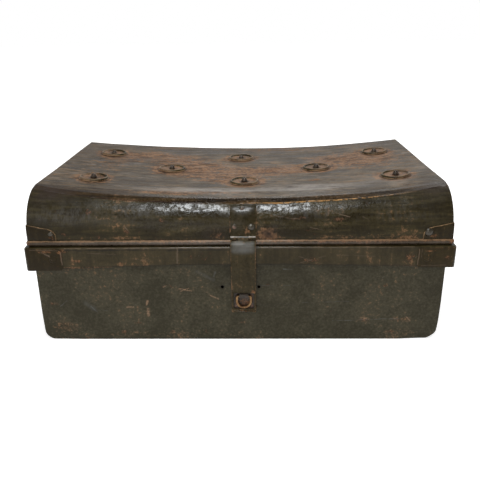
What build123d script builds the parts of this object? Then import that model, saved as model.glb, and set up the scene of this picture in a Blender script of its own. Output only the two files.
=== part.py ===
from build123d import *
import math
import os

os.makedirs("parts", exist_ok=True)

# Small sheet-steel trunk: a tub, a deep lid that overlaps it, a hasp that drops over a ring
# staple, two strap hinges behind and a drop handle at each end.
# Frame: +X to the right, -Y towards the front, +Z up, origin under the middle of the floor.

# ---- driving dimensions, mm ---------------------------------------------------------------
sheet = 0.9                 # sheet of the tub, the lid and its band
lap_gap = 0.05              # play between sheets that lie on each other
lap_depth = 9.0             # depth of the folded lap on each panel
seat_gap = 0.3              # daylight between the tub's rim and the shelf that rests on it

body_width = 643.0
body_depth = 409.0
body_height = 164.0
body_corner = 14.0          # bend between the ends and the floor
rim_diameter = 5.2          # rolled rim round the mouth
rim_round = 2.5
rim_plan_corner = 5.0

lid_overhang = 3.5          # how far the lid's walls stand outside the tub's
lid_rise = 84.2             # from the shelf to the top, at the two ends
crown_sag = 17.0            # how far the middle of the top hangs below its ends
brow_radius = 64.0          # front edge of the top
heel_radius = 14.0          # back edge of the top

band_standoff = 6.5         # how far the band stands out from the lid's walls
band_drop = 33.0
band_plan_corner = 6.0
band_edge = 0.75            # rounding of the band's upper edge
shelf_reach = 13.0          # how far the shelf runs in behind the lid's walls
bead_diameter = 8.6
bead_round = 4.1
bead_height = 3.5           # underside of the bead above the shelf
bead_plan_corner = 6.0

bracket_sheet = 0.9
bracket_reach = 45.0
bracket_rise = 22.5
bracket_round = 12.0
bracket_gap = 0.4           # above the bead
bracket_rivet_in = 36.0     # in from the lid's corner
bracket_rivet_up = 8.0      # above the bracket's lower edge
patch_sheet = 0.9
patch_reach = 59.0
patch_height = 32.0
patch_lift = 1.2            # how far a patch hangs below the band
patch_round = 4.0
patch_rivet_in = 44.0
patch_rivet_up = 15.5

roundel_diameter = 50.0
roundel_sheet = 1.0
roundel_height = 5.2
roundel_floor = 32.0        # diameter of the flat floor
roundel_play = 0.12
roundel_bend = 2.2
roundel_places = [(-0.763, -0.404), (0.025, -0.389), (0.806, -0.409),
                  (-0.388, 0.019), (0.425, 0.019),
                  (-0.785, 0.5), (-0.003, 0.466), (0.803, 0.471)]
                            # shares of half the lid's width and depth, from its middle
stud_base = 11.0
stud_tip = 7.0
stud_height = 7.0
stud_waist = 3.5            # how far up the stud's flare ends
stud_shoulder = 5.6
stud_slot = 1.7
stud_slot_depth = 2.6

shank_diameter = 3.2        # every rivet's shank
shank_play = 0.05
tail_diameter = 6.0
tail_height = 0.8
pan_head = (7.6, 1.6)       # head diameter and height
large_head = (13.0, 3.6)
dome_head = (11.4, 3.4)
worn_head = (7.4, 0.7)
low_head = (5.6, 0.6)
flush_head = (4.4, 0.2)
disc_head = (12.0, 1.1)

hasp_x = 7.5
hasp_width = 38.6
hasp_plate_width = 41.0
hasp_plate_sheet = 1.2
hasp_plate_top = 56.0       # degrees up the brow
hasp_plate_foot = 2.1       # the plate's lower edge above the pin
hasp_plate_corner = 2.5
hasp_rivet_top = (5.4, 50)  # x, and degrees up the brow
hasp_rivet_worn = (-5.7, 24)
hasp_rivet_dome = (19.8, 23)
hasp_sheet = 1.5
hasp_knuckle = 6.6
hasp_barrel = 15.6          # middle barrel, which is the strap's
barrel_play = 0.4
hasp_pin_diameter = 3.0
pin_play = 0.05
hasp_pin_rise = 14.4        # pin above the shelf
hasp_pin_out = 4.4          # pin in front of the lid's wall
hasp_step_in = 0.6          # how far the step above the barrels runs into the plate
hasp_bulge = 10.7           # strap's centre line in front of the lid's wall, over the band
hasp_bulge_top = 4.0        # where the bulge starts, above the shelf
hasp_standoff = 3.6         # strap's centre line in front of the tub, at the foot
hasp_knee = 88.0            # height of the bend where the strap meets the tub
hasp_foot = 52.4
hasp_lip = 3.0              # how far the finger lip turns out
hasp_lip_rise = 2.0
hasp_neck = 3.4             # straight drop below the pin before the strap bulges
hasp_lean = 1.0             # how far the bulge eases back down to the band's lower edge
window_width = 32.4
window_bottom = 57.4
window_top = 84.8
window_corner = 2.0
hasp_foot_corner = 4.0
hasp_bends = [3.0, 7.0, 14.0, 12.0, 2.0]

staple_width = 36.0
staple_sheet = 1.2
staple_bottom = 54.5
staple_top = 98.0
staple_corner = 4.0
staple_rivet_x = 13.0       # either side of the hasp's middle
staple_rivet_low = 6.5      # above the plate's lower edge
staple_rivet_high = 5.0     # below its upper edge
ring_wire = 4.4
ring_width = 26.5
ring_pivot_z = 80.5
ring_drop = 20.1            # pivot to the middle of the bottom of the loop
ring_corner = 3.5
clip_width = 14.6
clip_sheet = 1.0
clip_play = 0.1
clip_tab = 12.0
clip_rivet_x = 3.8
clip_rivet_rise = 8.6       # above the ring's pivot

lock_hole_diameter = 4.8
lock_hole_x = (-26.5, 31.4)
lock_hole_z = 94.0

hinge_in = 117.0            # middle of each hinge in from the tub's end
hinge_width = 42.0
hinge_sheet = 1.2
hinge_knuckle = 6.4
hinge_barrel = 18.0         # middle barrel, which is the tub's
hinge_pin_diameter = 3.0
hinge_below = 1.8           # pin below the band's lower edge
hinge_lid_leaf = 31.0
hinge_body_leaf_top = 110.0
hinge_body_leaf_bottom = 62.0
hinge_bend = 2.0
hinge_rivet_x = 12.0
hinge_lid_rivet = 21.0      # above the band's lower edge
hinge_body_rivets_up = (7.0, 30.0)

handle_z = 100.0
handle_plate_length = 132.0
handle_plate_height = 34.0
handle_plate_sheet = 1.2
handle_plate_corner = 8.0
handle_rod = 6.5
handle_ear = 11.2
handle_ear_length = 10.0
handle_ear_y = 50.0
handle_leg_y = 61.0
handle_stub_y = 44.5
handle_drop = 38.0
handle_bend = 5.5
handle_rivet_y = 32.0
handle_rivet_z = 9.0        # above and below the middle of the plate

# ---- derived places -----------------------------------------------------------------------
body_half = body_width / 2
body_front_y = body_depth / 2
lid_half = body_half + lid_overhang
lid_front = body_front_y + lid_overhang
shelf_bottom = body_height + seat_gap
shelf_top = shelf_bottom + sheet
lid_top = shelf_top + lid_rise
crown_middle = lid_top - crown_sag
sag_radius = (lid_half**2 + crown_sag**2) / (2 * crown_sag)
band_half_width = lid_half + band_standoff
band_half_depth = lid_front + band_standoff
band_bottom = shelf_top - band_drop
bead_bottom = shelf_top + bead_height
bead_top = bead_bottom + bead_diameter
pin_y = -(lid_front + hasp_pin_out)
pin_z = shelf_top + hasp_pin_rise
ring_eye = ring_wire + 2 * clip_play + 2 * clip_sheet
ring_y = -(body_front_y + lap_gap + staple_sheet + lap_gap + ring_eye / 2)
hinge_x = body_half - hinge_in
hinge_y = band_half_depth + lap_gap + hinge_knuckle / 2
hinge_z = band_bottom - hinge_below
handle_plate_face = body_half + lap_gap + handle_plate_sheet
handle_pivot_x = handle_plate_face - handle_plate_sheet / 2 + handle_ear / 2
hole_radius = shank_diameter / 2 + shank_play
reach_past = 5.0            # how far a cutter runs past what it cuts
drill_depth = 8.0           # how far a drill runs either side of a rivet's seat


def crown_z(x, inset=0.0):
    """Height of the sagging top at x, or of the same surface offset inwards."""
    return crown_middle + sag_radius - math.sqrt((sag_radius + inset)**2 - x**2)


def lid_form(inset, half_length, bottom):
    """The lid's outer form as one solid, offset inwards by inset."""
    corner = (half_length, crown_z(half_length, inset))
    opposite = (-half_length, crown_z(half_length, inset))
    with BuildPart() as form:
        with BuildSketch(Plane.XZ):
            with BuildLine():
                ThreePointArc(opposite, (0, crown_z(0, inset)), corner)
                Polyline(corner, (half_length, bottom), (-half_length, bottom), opposite)
            make_face()
        extrude(amount=lid_front - inset, both=True)
        long_edges = form.edges().filter_by(GeomType.CIRCLE).sort_by(Axis.Y)
        fillet(long_edges[0], brow_radius - inset)
        fillet(form.edges().filter_by(GeomType.CIRCLE).sort_by(Axis.Y)[-1], heel_radius - inset)
    return form.part


def ring_block(half_width, half_depth, plan_corner, bottom, top):
    """A block with rounded upright corners, the blank of every ring that goes round the trunk."""
    with BuildPart() as block:
        with BuildSketch(Plane.XY.offset(bottom)):
            RectangleRounded(2 * half_width, 2 * half_depth, plan_corner)
        extrude(amount=top - bottom)
    return block.part


def plain_block(half_width, half_depth, bottom, top):
    """A square-cornered block about the Z axis."""
    with BuildPart() as block:
        with BuildSketch(Plane.XY.offset(bottom)):
            Rectangle(2 * half_width, 2 * half_depth)
        extrude(amount=top - bottom)
    return block.part


def rivet(seat, head, grip, flat=False):
    """Rivet with a domed or flat head on the seat plane and a clinched tail behind the grip."""
    section = Plane(origin=seat.origin, x_dir=seat.x_dir, z_dir=-seat.y_dir)
    head_radius = head[0] / 2
    head_height = head[1]
    dome = (head_radius**2 + head_height**2) / (2 * head_height)
    half_turn = math.asin(min(1.0, head_radius / dome)) / 2
    crest = (dome * math.sin(half_turn), head_height - dome * (1 - math.cos(half_turn)))
    with BuildPart() as one:
        with BuildSketch(section):
            with BuildLine():
                Polyline((head_radius, 0), (shank_diameter / 2, 0), (shank_diameter / 2, -grip),
                         (tail_diameter / 2, -grip), (tail_diameter / 2, -grip - tail_height),
                         (0, -grip - tail_height), (0, head_height))
                if flat:
                    Polyline((head_radius, 0), (head_radius - head_height, head_height),
                             (0, head_height))
                else:
                    ThreePointArc((head_radius, 0), crest, (0, head_height))
            make_face()
        revolve(axis=Axis(seat.origin, seat.z_dir))
    return one.part


def drill(seats, radius):
    """Cut a round hole through the open part's sheet at each seat."""
    with Locations(*seats):
        Hole(radius, drill_depth)


def barrel(x, y, z, diameter, length, mode=Mode.ADD):
    """A cylinder along X in the open part: a hinge barrel, a pin or a bore."""
    with Locations(Location((x, y, z), (0, 90, 0))):
        Cylinder(diameter / 2, length, mode=mode)


def brow_seat(x, elevation, standoff):
    """Plane on the lid's rounded brow, elevation in degrees from level, facing outwards."""
    turn = math.radians(elevation)
    outwards = Vector(0, -math.cos(turn), math.sin(turn))
    centre = Vector(x, brow_radius - lid_front, crown_z(x) - brow_radius)
    return Plane(origin=centre + outwards * (brow_radius + standoff), x_dir=(1, 0, 0),
                 z_dir=outwards)


def wall_seat(x, y, z, outwards):
    """Upright plane at a point, facing outwards, with its own X level."""
    level = Vector(0, 0, 1).cross(Vector(outwards))
    return Plane(origin=(x, y, z), x_dir=level, z_dir=outwards)


FRONT = (0, -1, 0)
BACK = (0, 1, 0)


def end_name(side):
    return "left" if side < 0 else "right"


def row_name(row):
    return "front" if row < 0 else "back"


# ---- rivet seats, shared by the pieces that are drilled and the rivets --------------------
hasp_plate_out = lap_gap + hasp_plate_sheet
hasp_seats = [brow_seat(x, up, hasp_plate_out)
              for x, up in (hasp_rivet_top, hasp_rivet_worn, hasp_rivet_dome)]
hasp_heads = (pan_head, worn_head, dome_head)
hasp_grip = lap_gap + hasp_plate_sheet + sheet + lap_gap

staple_face = -(body_front_y + lap_gap + staple_sheet)
staple_seats = [wall_seat(hasp_x + dx, staple_face, z, FRONT)
                for dx in (-staple_rivet_x, staple_rivet_x)
                for z in (staple_bottom + staple_rivet_low, staple_top - staple_rivet_high)]
clip_seats = [wall_seat(hasp_x + dx, staple_face - lap_gap - clip_sheet,
                        ring_pivot_z + clip_rivet_rise, FRONT)
              for dx in (-clip_rivet_x, clip_rivet_x)]
staple_grip = lap_gap + staple_sheet + sheet + lap_gap

handle_seats = [wall_seat(side * handle_plate_face, y, handle_z + dz, (side, 0, 0))
                for side in (-1, 1) for y in (-handle_rivet_y, handle_rivet_y)
                for dz in (-handle_rivet_z, handle_rivet_z)]
handle_grip = lap_gap + handle_plate_sheet + sheet + lap_gap

hinge_lid_seats = [wall_seat(side * hinge_x + dx, band_half_depth + lap_gap + hinge_sheet,
                             band_bottom + hinge_lid_rivet, BACK)
                   for side in (-1, 1) for dx in (-hinge_rivet_x, hinge_rivet_x)]
hinge_body_seats = [wall_seat(side * hinge_x + dx, body_front_y + lap_gap + hinge_sheet,
                              hinge_body_leaf_bottom + up, BACK)
                    for side in (-1, 1) for dx in (-hinge_rivet_x, hinge_rivet_x)
                    for up in hinge_body_rivets_up]
hinge_grip = lap_gap + hinge_sheet + sheet + lap_gap

bracket_rivet_x = lid_half - bracket_rivet_in
bracket_rivet_z = bead_top + bracket_gap + bracket_rivet_up
bracket_out = lap_gap + bracket_sheet
bracket_front_seats = []
for side in (-1, 1):
    climb = bracket_rivet_z - crown_z(bracket_rivet_x) + brow_radius
    elevation = math.degrees(math.asin(max(0.0, climb) / brow_radius))
    bracket_front_seats.append(brow_seat(side * bracket_rivet_x, elevation, bracket_out))
    bracket_front_seats.append(wall_seat(side * bracket_rivet_x, lid_front + bracket_out,
                                         bracket_rivet_z, BACK))
bracket_end_seats = [wall_seat(side * (lid_half + bracket_out), row * (lid_front - bracket_rivet_in),
                               bracket_rivet_z, (side, 0, 0))
                     for side in (-1, 1) for row in (-1, 1)]
bracket_grip = lap_gap + bracket_sheet + sheet + lap_gap

patch_out = lap_gap + patch_sheet
patch_rivet_z = band_bottom - patch_lift + patch_rivet_up
patch_front_seats = [wall_seat(side * (band_half_width - patch_rivet_in),
                               row * (band_half_depth + patch_out), patch_rivet_z, (0, row, 0))
                     for side in (-1, 1) for row in (-1, 1)]
patch_end_seats = [wall_seat(side * (band_half_width + patch_out),
                             row * (band_half_depth - patch_rivet_in),
                             patch_rivet_z, (side, 0, 0))
                   for side in (-1, 1) for row in (-1, 1)]
patch_grip = lap_gap + patch_sheet + sheet + lap_gap


# ---- the tub ------------------------------------------------------------------------------
wall_top = body_height - sheet


def tub_form(inset, half_depth, top):
    """The tub's form as one solid: square at the mouth, rounded where its ends meet the floor."""
    half = body_half - inset
    with BuildPart() as form:
        with BuildSketch(Plane.XZ) as outline:
            with BuildLine():
                Polyline((-half, top), (-half, inset), (half, inset), (half, top), close=True)
            make_face()
            fillet(outline.vertices().group_by(Axis.Y)[0], body_corner - inset)
        extrude(amount=half_depth, both=True)
    return form.part


with BuildPart() as body_wrap:
    add(tub_form(0, body_front_y, wall_top))
    add(tub_form(sheet, body_front_y + reach_past, wall_top + reach_past), mode=Mode.SUBTRACT)
    drill(handle_seats, hole_radius)
body_wrap.part.label = "body_wrap"
export_step(body_wrap.part, "parts/body_wrap.step")


def tub_panel(row):
    """Front (-1) or back (+1) panel of the tub: a sheet with a lap folded in behind the wrap."""
    outer = sheet + lap_gap
    lap_middle = row * (body_front_y - lap_depth / 2)
    with BuildPart() as panel:
        add(tub_form(outer, body_front_y, wall_top))
        add(tub_form(outer + sheet, body_front_y - sheet, wall_top + reach_past),
            mode=Mode.SUBTRACT)
        with BuildSketch(Plane.XY):
            with Locations((0, lap_middle)):
                Rectangle(body_width, lap_depth)
        extrude(amount=wall_top, mode=Mode.INTERSECT)
    return panel.part


with BuildPart() as body_front:
    add(tub_panel(-1))
    drill(staple_seats + clip_seats, hole_radius)
    drill([wall_seat(x, -body_front_y, lock_hole_z, FRONT) for x in lock_hole_x],
          lock_hole_diameter / 2)
body_front.part.label = "body_front"
export_step(body_front.part, "parts/body_front.step")

with BuildPart() as body_back:
    add(tub_panel(1))
    drill(hinge_body_seats, hole_radius)
body_back.part.label = "body_back"
export_step(body_back.part, "parts/body_back.step")

# The rolled rim hooks over the top edge of the walls and stands outside them.
with BuildPart() as body_rim:
    add(ring_block(body_half + rim_diameter, body_front_y + rim_diameter, rim_plan_corner,
                   body_height - rim_diameter, body_height))
    fillet(body_rim.faces().filter_by(Axis.Z).edges(), rim_round)
    add(plain_block(body_half, body_front_y, 0, wall_top), mode=Mode.SUBTRACT)
    add(plain_block(body_half - sheet, body_front_y - sheet, 0, body_height + reach_past),
        mode=Mode.SUBTRACT)
body_rim.part.label = "body_rim"
export_step(body_rim.part, "parts/body_rim.step")

# ---- the staple that the hasp drops over ---------------------------------------------------
with BuildPart() as staple_plate:
    with BuildSketch(Plane.XZ.offset(body_front_y + lap_gap)):
        with Locations((hasp_x, (staple_bottom + staple_top) / 2)):
            RectangleRounded(staple_width, staple_top - staple_bottom, staple_corner)
    extrude(amount=staple_sheet)
    drill(staple_seats + clip_seats, hole_radius)
staple_plate.part.label = "staple_plate"
export_step(staple_plate.part, "parts/staple_plate.step")

# A strip folded round the ring's straight bar, both its ends laid flat on the staple plate.
with BuildPart() as ring_clip:
    with BuildSketch(Plane.YZ.offset(hasp_x)):
        with Locations((ring_y, ring_pivot_z)):
            Circle(ring_eye / 2)
        with Locations((ring_y + ring_eye / 2, ring_pivot_z)):
            Rectangle(clip_sheet, clip_tab, align=(Align.MAX, Align.MIN))
        with Locations((ring_y, ring_pivot_z)):
            Circle(ring_wire / 2 + clip_play, mode=Mode.SUBTRACT)
    extrude(amount=clip_width / 2, both=True)
    drill(clip_seats, hole_radius)
ring_clip.part.label = "ring_clip"
export_step(ring_clip.part, "parts/ring_clip.step")

with BuildPart() as staple_rivets:
    for seat in staple_seats:
        add(rivet(seat, low_head, staple_grip))
    for seat in clip_seats:
        add(rivet(seat, flush_head, staple_grip + clip_sheet + lap_gap))
staple_rivets.part.label = "staple_rivets"
export_step(staple_rivets.part, "parts/staple_rivets.step")

# The loop, drawn hanging: a straight bar on top, two legs and a half-round foot.
loop_half = (ring_width - ring_wire) / 2
loop_turn = ring_pivot_z - ring_drop + loop_half
bar_half = loop_half - ring_corner
corner_mid = ring_corner * (1 - math.sqrt(0.5))
with BuildPart() as staple_ring:
    with BuildLine(Plane.XZ.offset(-ring_y)) as loop_path:
        for side in (-1, 1):
            knee = (hasp_x + side * loop_half, ring_pivot_z - ring_corner)
            shoulder = (hasp_x + side * bar_half, ring_pivot_z)
            Line((hasp_x, ring_pivot_z), shoulder)
            ThreePointArc(shoulder, (knee[0] - side * corner_mid, ring_pivot_z - corner_mid), knee)
            Line(knee, (knee[0], loop_turn))
            ThreePointArc((knee[0], loop_turn),
                          (hasp_x + side * loop_half * math.sqrt(0.5),
                           loop_turn - loop_half * math.sqrt(0.5)),
                          (hasp_x, loop_turn - loop_half))
    with BuildSketch(Plane(origin=(hasp_x, ring_y, ring_pivot_z), z_dir=(1, 0, 0))):
        Circle(ring_wire / 2)
    sweep(path=loop_path.wires()[0])
staple_ring.part.label = "staple_ring"
export_step(staple_ring.part, "parts/staple_ring.step")

# ---- drop handles at the ends ---------------------------------------------------------------
for side in (-1, 1):
    with BuildPart() as handle_plate:
        with BuildSketch(Plane.YZ.offset(side * (body_half + lap_gap + handle_plate_sheet / 2))):
            with Locations((0, handle_z)):
                RectangleRounded(handle_plate_length, handle_plate_height, handle_plate_corner)
        extrude(amount=handle_plate_sheet / 2, both=True)
        with BuildSketch(Plane.XZ):
            with Locations((side * handle_pivot_x, handle_z)):
                Circle(handle_ear / 2)
        extrude(amount=handle_ear_y + handle_ear_length / 2, both=True)
        with BuildSketch(Plane.XZ):
            with Locations((side * (handle_plate_face + handle_ear / 2), handle_z)):
                Rectangle(handle_ear, 2 * handle_ear)
        extrude(amount=handle_ear_y - handle_ear_length / 2, both=True, mode=Mode.SUBTRACT)
        with BuildSketch(Plane.XZ):
            with Locations((side * handle_pivot_x, handle_z)):
                Circle(handle_rod / 2 + pin_play)
        extrude(amount=handle_plate_length, both=True, mode=Mode.SUBTRACT)
        drill([seat for seat in handle_seats if seat.origin.X * side > 0], hole_radius)
    name = "handle_plate_" + end_name(side)
    handle_plate.part.label = name
    export_step(handle_plate.part, "parts/" + name + ".step")

    with BuildPart() as handle_bail:
        with BuildLine(Plane.YZ.offset(side * handle_pivot_x)) as bail_path:
            low = handle_z - handle_drop
            FilletPolyline((-handle_stub_y, handle_z), (-handle_leg_y, handle_z),
                           (-handle_leg_y, low), (handle_leg_y, low), (handle_leg_y, handle_z),
                           (handle_stub_y, handle_z), radius=handle_bend)
        start = bail_path.wires()[0] @ 0
        with BuildSketch(Plane(origin=start, z_dir=bail_path.wires()[0] % 0)):
            Circle(handle_rod / 2)
        sweep(path=bail_path.wires()[0])
    name = "handle_bail_" + end_name(side)
    handle_bail.part.label = name
    export_step(handle_bail.part, "parts/" + name + ".step")

with BuildPart() as handle_rivets:
    for seat in handle_seats:
        add(rivet(seat, pan_head, handle_grip))
handle_rivets.part.label = "handle_rivets"
export_step(handle_rivets.part, "parts/handle_rivets.step")

# ---- hinges at the back ---------------------------------------------------------------------
hinge_middles = (-hinge_x, hinge_x)
outer_barrel = (hinge_width - hinge_barrel) / 2 - barrel_play
hinge_bore = hinge_pin_diameter + 2 * pin_play

with BuildPart() as hinge_body_leaves:
    leaf_y = body_front_y + lap_gap + hinge_sheet / 2
    leaf_top_z = hinge_z - (hinge_knuckle - hinge_sheet) / 2
    for middle in hinge_middles:
        with BuildSketch(Plane.YZ.offset(middle)):
            with BuildLine():
                FilletPolyline((hinge_y, leaf_top_z), (hinge_y - hinge_knuckle / 2, leaf_top_z),
                               (leaf_y, hinge_body_leaf_top),
                               (leaf_y, hinge_body_leaf_bottom), radius=hinge_bend)
            trace(line_width=hinge_sheet)
        extrude(amount=hinge_width / 2, both=True)
        for hand in (-1, 1):
            notch_x = middle + hand * (hinge_barrel + outer_barrel + 2 * barrel_play) / 2
            barrel(notch_x, hinge_y, hinge_z, hinge_knuckle + 2 * barrel_play,
                   outer_barrel + 2 * barrel_play, Mode.SUBTRACT)
            with Locations((middle + hand * (hinge_barrel + hinge_width) / 2,
                            hinge_y, hinge_z - hinge_knuckle / 2)):
                Box(hinge_width, hinge_knuckle + 2 * barrel_play, hinge_knuckle,
                    mode=Mode.SUBTRACT)
        barrel(middle, hinge_y, hinge_z, hinge_knuckle, hinge_barrel)
        barrel(middle, hinge_y, hinge_z, hinge_bore, hinge_width, Mode.SUBTRACT)
    drill(hinge_body_seats, hole_radius)
hinge_body_leaves.part.label = "hinge_body_leaves"
export_step(hinge_body_leaves.part, "parts/hinge_body_leaves.step")

with BuildPart() as hinge_lid_leaves:
    leaf_y = band_half_depth + lap_gap + hinge_sheet / 2
    for middle in hinge_middles:
        with Locations((middle, leaf_y, hinge_z)):
            Box(hinge_width, hinge_sheet, hinge_lid_leaf,
                align=(Align.CENTER, Align.CENTER, Align.MIN))
        with Locations((middle, hinge_y, hinge_z)):
            Box(hinge_barrel + 2 * barrel_play, 2 * hinge_knuckle, hinge_knuckle + 2 * barrel_play,
                mode=Mode.SUBTRACT)
        for hand in (-1, 1):
            barrel(middle + hand * (hinge_width - outer_barrel) / 2, hinge_y, hinge_z,
                   hinge_knuckle, outer_barrel)
        barrel(middle, hinge_y, hinge_z, hinge_bore, hinge_width, Mode.SUBTRACT)
    drill(hinge_lid_seats, hole_radius)
hinge_lid_leaves.part.label = "hinge_lid_leaves"
export_step(hinge_lid_leaves.part, "parts/hinge_lid_leaves.step")

with BuildPart() as hinge_pins:
    for middle in hinge_middles:
        barrel(middle, hinge_y, hinge_z, hinge_pin_diameter, hinge_width)
hinge_pins.part.label = "hinge_pins"
export_step(hinge_pins.part, "parts/hinge_pins.step")

with BuildPart() as hinge_body_rivets:
    for seat in hinge_body_seats:
        add(rivet(seat, pan_head, hinge_grip))
hinge_body_rivets.part.label = "hinge_body_rivets"
export_step(hinge_body_rivets.part, "parts/hinge_body_rivets.step")

with BuildPart() as hinge_lid_rivets:
    for seat in hinge_lid_seats:
        add(rivet(seat, pan_head, hinge_grip))
hinge_lid_rivets.part.label = "hinge_lid_rivets"
export_step(hinge_lid_rivets.part, "parts/hinge_lid_rivets.step")

# ---- the lid --------------------------------------------------------------------------------
def crown_plane(x, y):
    """Plane tangent to the sagging top, facing up, at the height of its surface."""
    slope = x / math.sqrt(sag_radius**2 - x**2)
    return Plane(origin=(x, y, crown_z(x)), x_dir=(1, 0, slope), z_dir=(-slope, 0, 1))


roundel_seats = [crown_plane(x * lid_half, y * lid_front) for x, y in roundel_places]

with BuildPart() as lid_crown:
    add(lid_form(0, lid_half, shelf_top))
    add(lid_form(sheet, lid_half + reach_past, shelf_top - reach_past), mode=Mode.SUBTRACT)
    drill(roundel_seats + hasp_seats + bracket_front_seats, hole_radius)
lid_crown.part.label = "lid_crown"
export_step(lid_crown.part, "parts/lid_crown.step")

for side in (-1, 1):
    with BuildPart() as lid_end:
        inset = sheet + lap_gap
        add(lid_form(inset, lid_half, shelf_top))
        add(lid_form(inset + sheet, lid_half - sheet, shelf_top - reach_past), mode=Mode.SUBTRACT)
        with BuildSketch(Plane.XY):
            with Locations((side * (lid_half - lap_depth / 2), 0)):
                Rectangle(lap_depth, 2 * lid_front)
        extrude(amount=2 * lid_top, mode=Mode.INTERSECT)
        drill([seat for seat in bracket_end_seats if seat.origin.X * side > 0], hole_radius)
    name = "lid_end_" + end_name(side)
    lid_end.part.label = name
    export_step(lid_end.part, "parts/" + name + ".step")

with BuildPart() as lid_bead:
    add(ring_block(lid_half + bead_diameter / 2, lid_front + bead_diameter / 2,
                   bead_plan_corner, bead_bottom, bead_top))
    fillet(lid_bead.faces().filter_by(Axis.Z).edges(), bead_round)
    add(plain_block(lid_half, lid_front, bead_bottom - reach_past, bead_top + reach_past),
        mode=Mode.SUBTRACT)
lid_bead.part.label = "lid_bead"
export_step(lid_bead.part, "parts/lid_bead.step")

# The band is an angle: a skirt outside the tub and a shelf that carries the lid's walls.
with BuildPart() as lid_band:
    add(ring_block(band_half_width, band_half_depth, band_plan_corner, band_bottom, shelf_top))
    fillet(lid_band.faces().filter_by(Axis.Z).sort_by(Axis.Z)[-1].edges(), band_edge)
    add(ring_block(band_half_width - sheet, band_half_depth - sheet, band_plan_corner - sheet,
                   band_bottom - reach_past, shelf_bottom), mode=Mode.SUBTRACT)
    add(plain_block(lid_half - shelf_reach, lid_front - shelf_reach,
                    band_bottom - reach_past, shelf_top + reach_past), mode=Mode.SUBTRACT)
    drill(patch_front_seats + patch_end_seats + hinge_lid_seats, hole_radius)
lid_band.part.label = "lid_band"
export_step(lid_band.part, "parts/lid_band.step")


def corner_prism(plane, side, outer, reach, bottom, top, top_round, bottom_round):
    """What one view of a corner piece keeps: a strip inwards from the corner, its free end rounded."""
    with BuildPart() as prism:
        with BuildSketch(plane) as view:
            with Locations((side * (outer - reach / 2), (bottom + top) / 2)):
                Rectangle(reach, top - bottom)
            free_end = view.vertices().group_by(Axis.X)[0 if side > 0 else -1].sort_by(Axis.Y)
            fillet(free_end[-1], top_round)
            free_end = view.vertices().group_by(Axis.X)[0 if side > 0 else -1].sort_by(Axis.Y)
            if bottom_round:
                fillet(free_end[0], bottom_round)
        extrude(amount=2 * lid_half, both=True)
    return prism.part


bracket_bottom = bead_top + bracket_gap
bracket_top = bracket_bottom + bracket_rise
for side in (-1, 1):
    for row in (-1, 1):
        with BuildPart() as bracket:
            add(lid_form(-bracket_out, lid_half + bracket_out, shelf_top))
            add(lid_form(-lap_gap, lid_half + lap_gap, shelf_top - reach_past),
                mode=Mode.SUBTRACT)
            add(corner_prism(Plane.XZ, side, lid_half + bracket_out, bracket_reach,
                             bracket_bottom, bracket_top, bracket_round, 0), mode=Mode.INTERSECT)
            add(corner_prism(Plane.YZ, row, lid_front + bracket_out, bracket_reach,
                             bracket_bottom, bracket_top, bracket_round, 0), mode=Mode.INTERSECT)
            drill([seat for seat in bracket_front_seats + bracket_end_seats
                   if seat.origin.X * side > 0 and seat.origin.Y * row > 0], hole_radius)
        name = "lid_bracket_" + row_name(row) + "_" + end_name(side)
        bracket.part.label = name
        export_step(bracket.part, "parts/" + name + ".step")

with BuildPart() as lid_bracket_rivets:
    for seat in bracket_front_seats:
        replaced = seat.origin.X > 0 and seat.origin.Y < 0
        add(rivet(seat, large_head if replaced else pan_head, bracket_grip))
    for seat in bracket_end_seats:
        add(rivet(seat, pan_head, bracket_grip))
lid_bracket_rivets.part.label = "lid_bracket_rivets"
export_step(lid_bracket_rivets.part, "parts/lid_bracket_rivets.step")

patch_bottom = band_bottom - patch_lift
patch_top = patch_bottom + patch_height
for side in (-1, 1):
    for row in (-1, 1):
        with BuildPart() as patch:
            add(ring_block(band_half_width + patch_out, band_half_depth + patch_out,
                           band_plan_corner + patch_out, patch_bottom, patch_top))
            add(ring_block(band_half_width + lap_gap, band_half_depth + lap_gap,
                           band_plan_corner + lap_gap, patch_bottom - reach_past,
                           patch_top + reach_past), mode=Mode.SUBTRACT)
            add(corner_prism(Plane.XZ, side, band_half_width + patch_out, patch_reach,
                             patch_bottom, patch_top, patch_round, patch_round),
                mode=Mode.INTERSECT)
            add(corner_prism(Plane.YZ, row, band_half_depth + patch_out, patch_reach,
                             patch_bottom, patch_top, patch_round, patch_round),
                mode=Mode.INTERSECT)
            drill([seat for seat in patch_front_seats + patch_end_seats
                   if seat.origin.X * side > 0 and seat.origin.Y * row > 0], hole_radius)
        name = "band_patch_" + row_name(row) + "_" + end_name(side)
        patch.part.label = name
        export_step(patch.part, "parts/" + name + ".step")

with BuildPart() as band_patch_rivets:
    for seat in patch_front_seats + patch_end_seats:
        add(rivet(seat, disc_head, patch_grip, flat=True))
band_patch_rivets.part.label = "band_patch_rivets"
export_step(band_patch_rivets.part, "parts/band_patch_rivets.step")

# ---- roundels on the top --------------------------------------------------------------------
for number, seat in enumerate(roundel_seats, start=1):
    section = Plane(origin=seat.origin + seat.z_dir * roundel_play, x_dir=seat.x_dir,
                    z_dir=-seat.y_dir)
    with BuildPart() as roundel:
        with BuildSketch(section):
            with BuildLine():
                low = roundel_sheet / 2
                rim = roundel_diameter / 2 - roundel_sheet / 2
                crest = (roundel_floor / 2 + rim) / 2
                FilletPolyline((hole_radius, low), (roundel_floor / 2, low),
                               (crest, roundel_height - low), (rim, low), radius=roundel_bend)
            trace(line_width=roundel_sheet)
        revolve(axis=Axis(seat.origin, seat.z_dir))
    name = "lid_roundel_" + str(number)
    roundel.part.label = name
    export_step(roundel.part, "parts/" + name + ".step")

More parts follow.
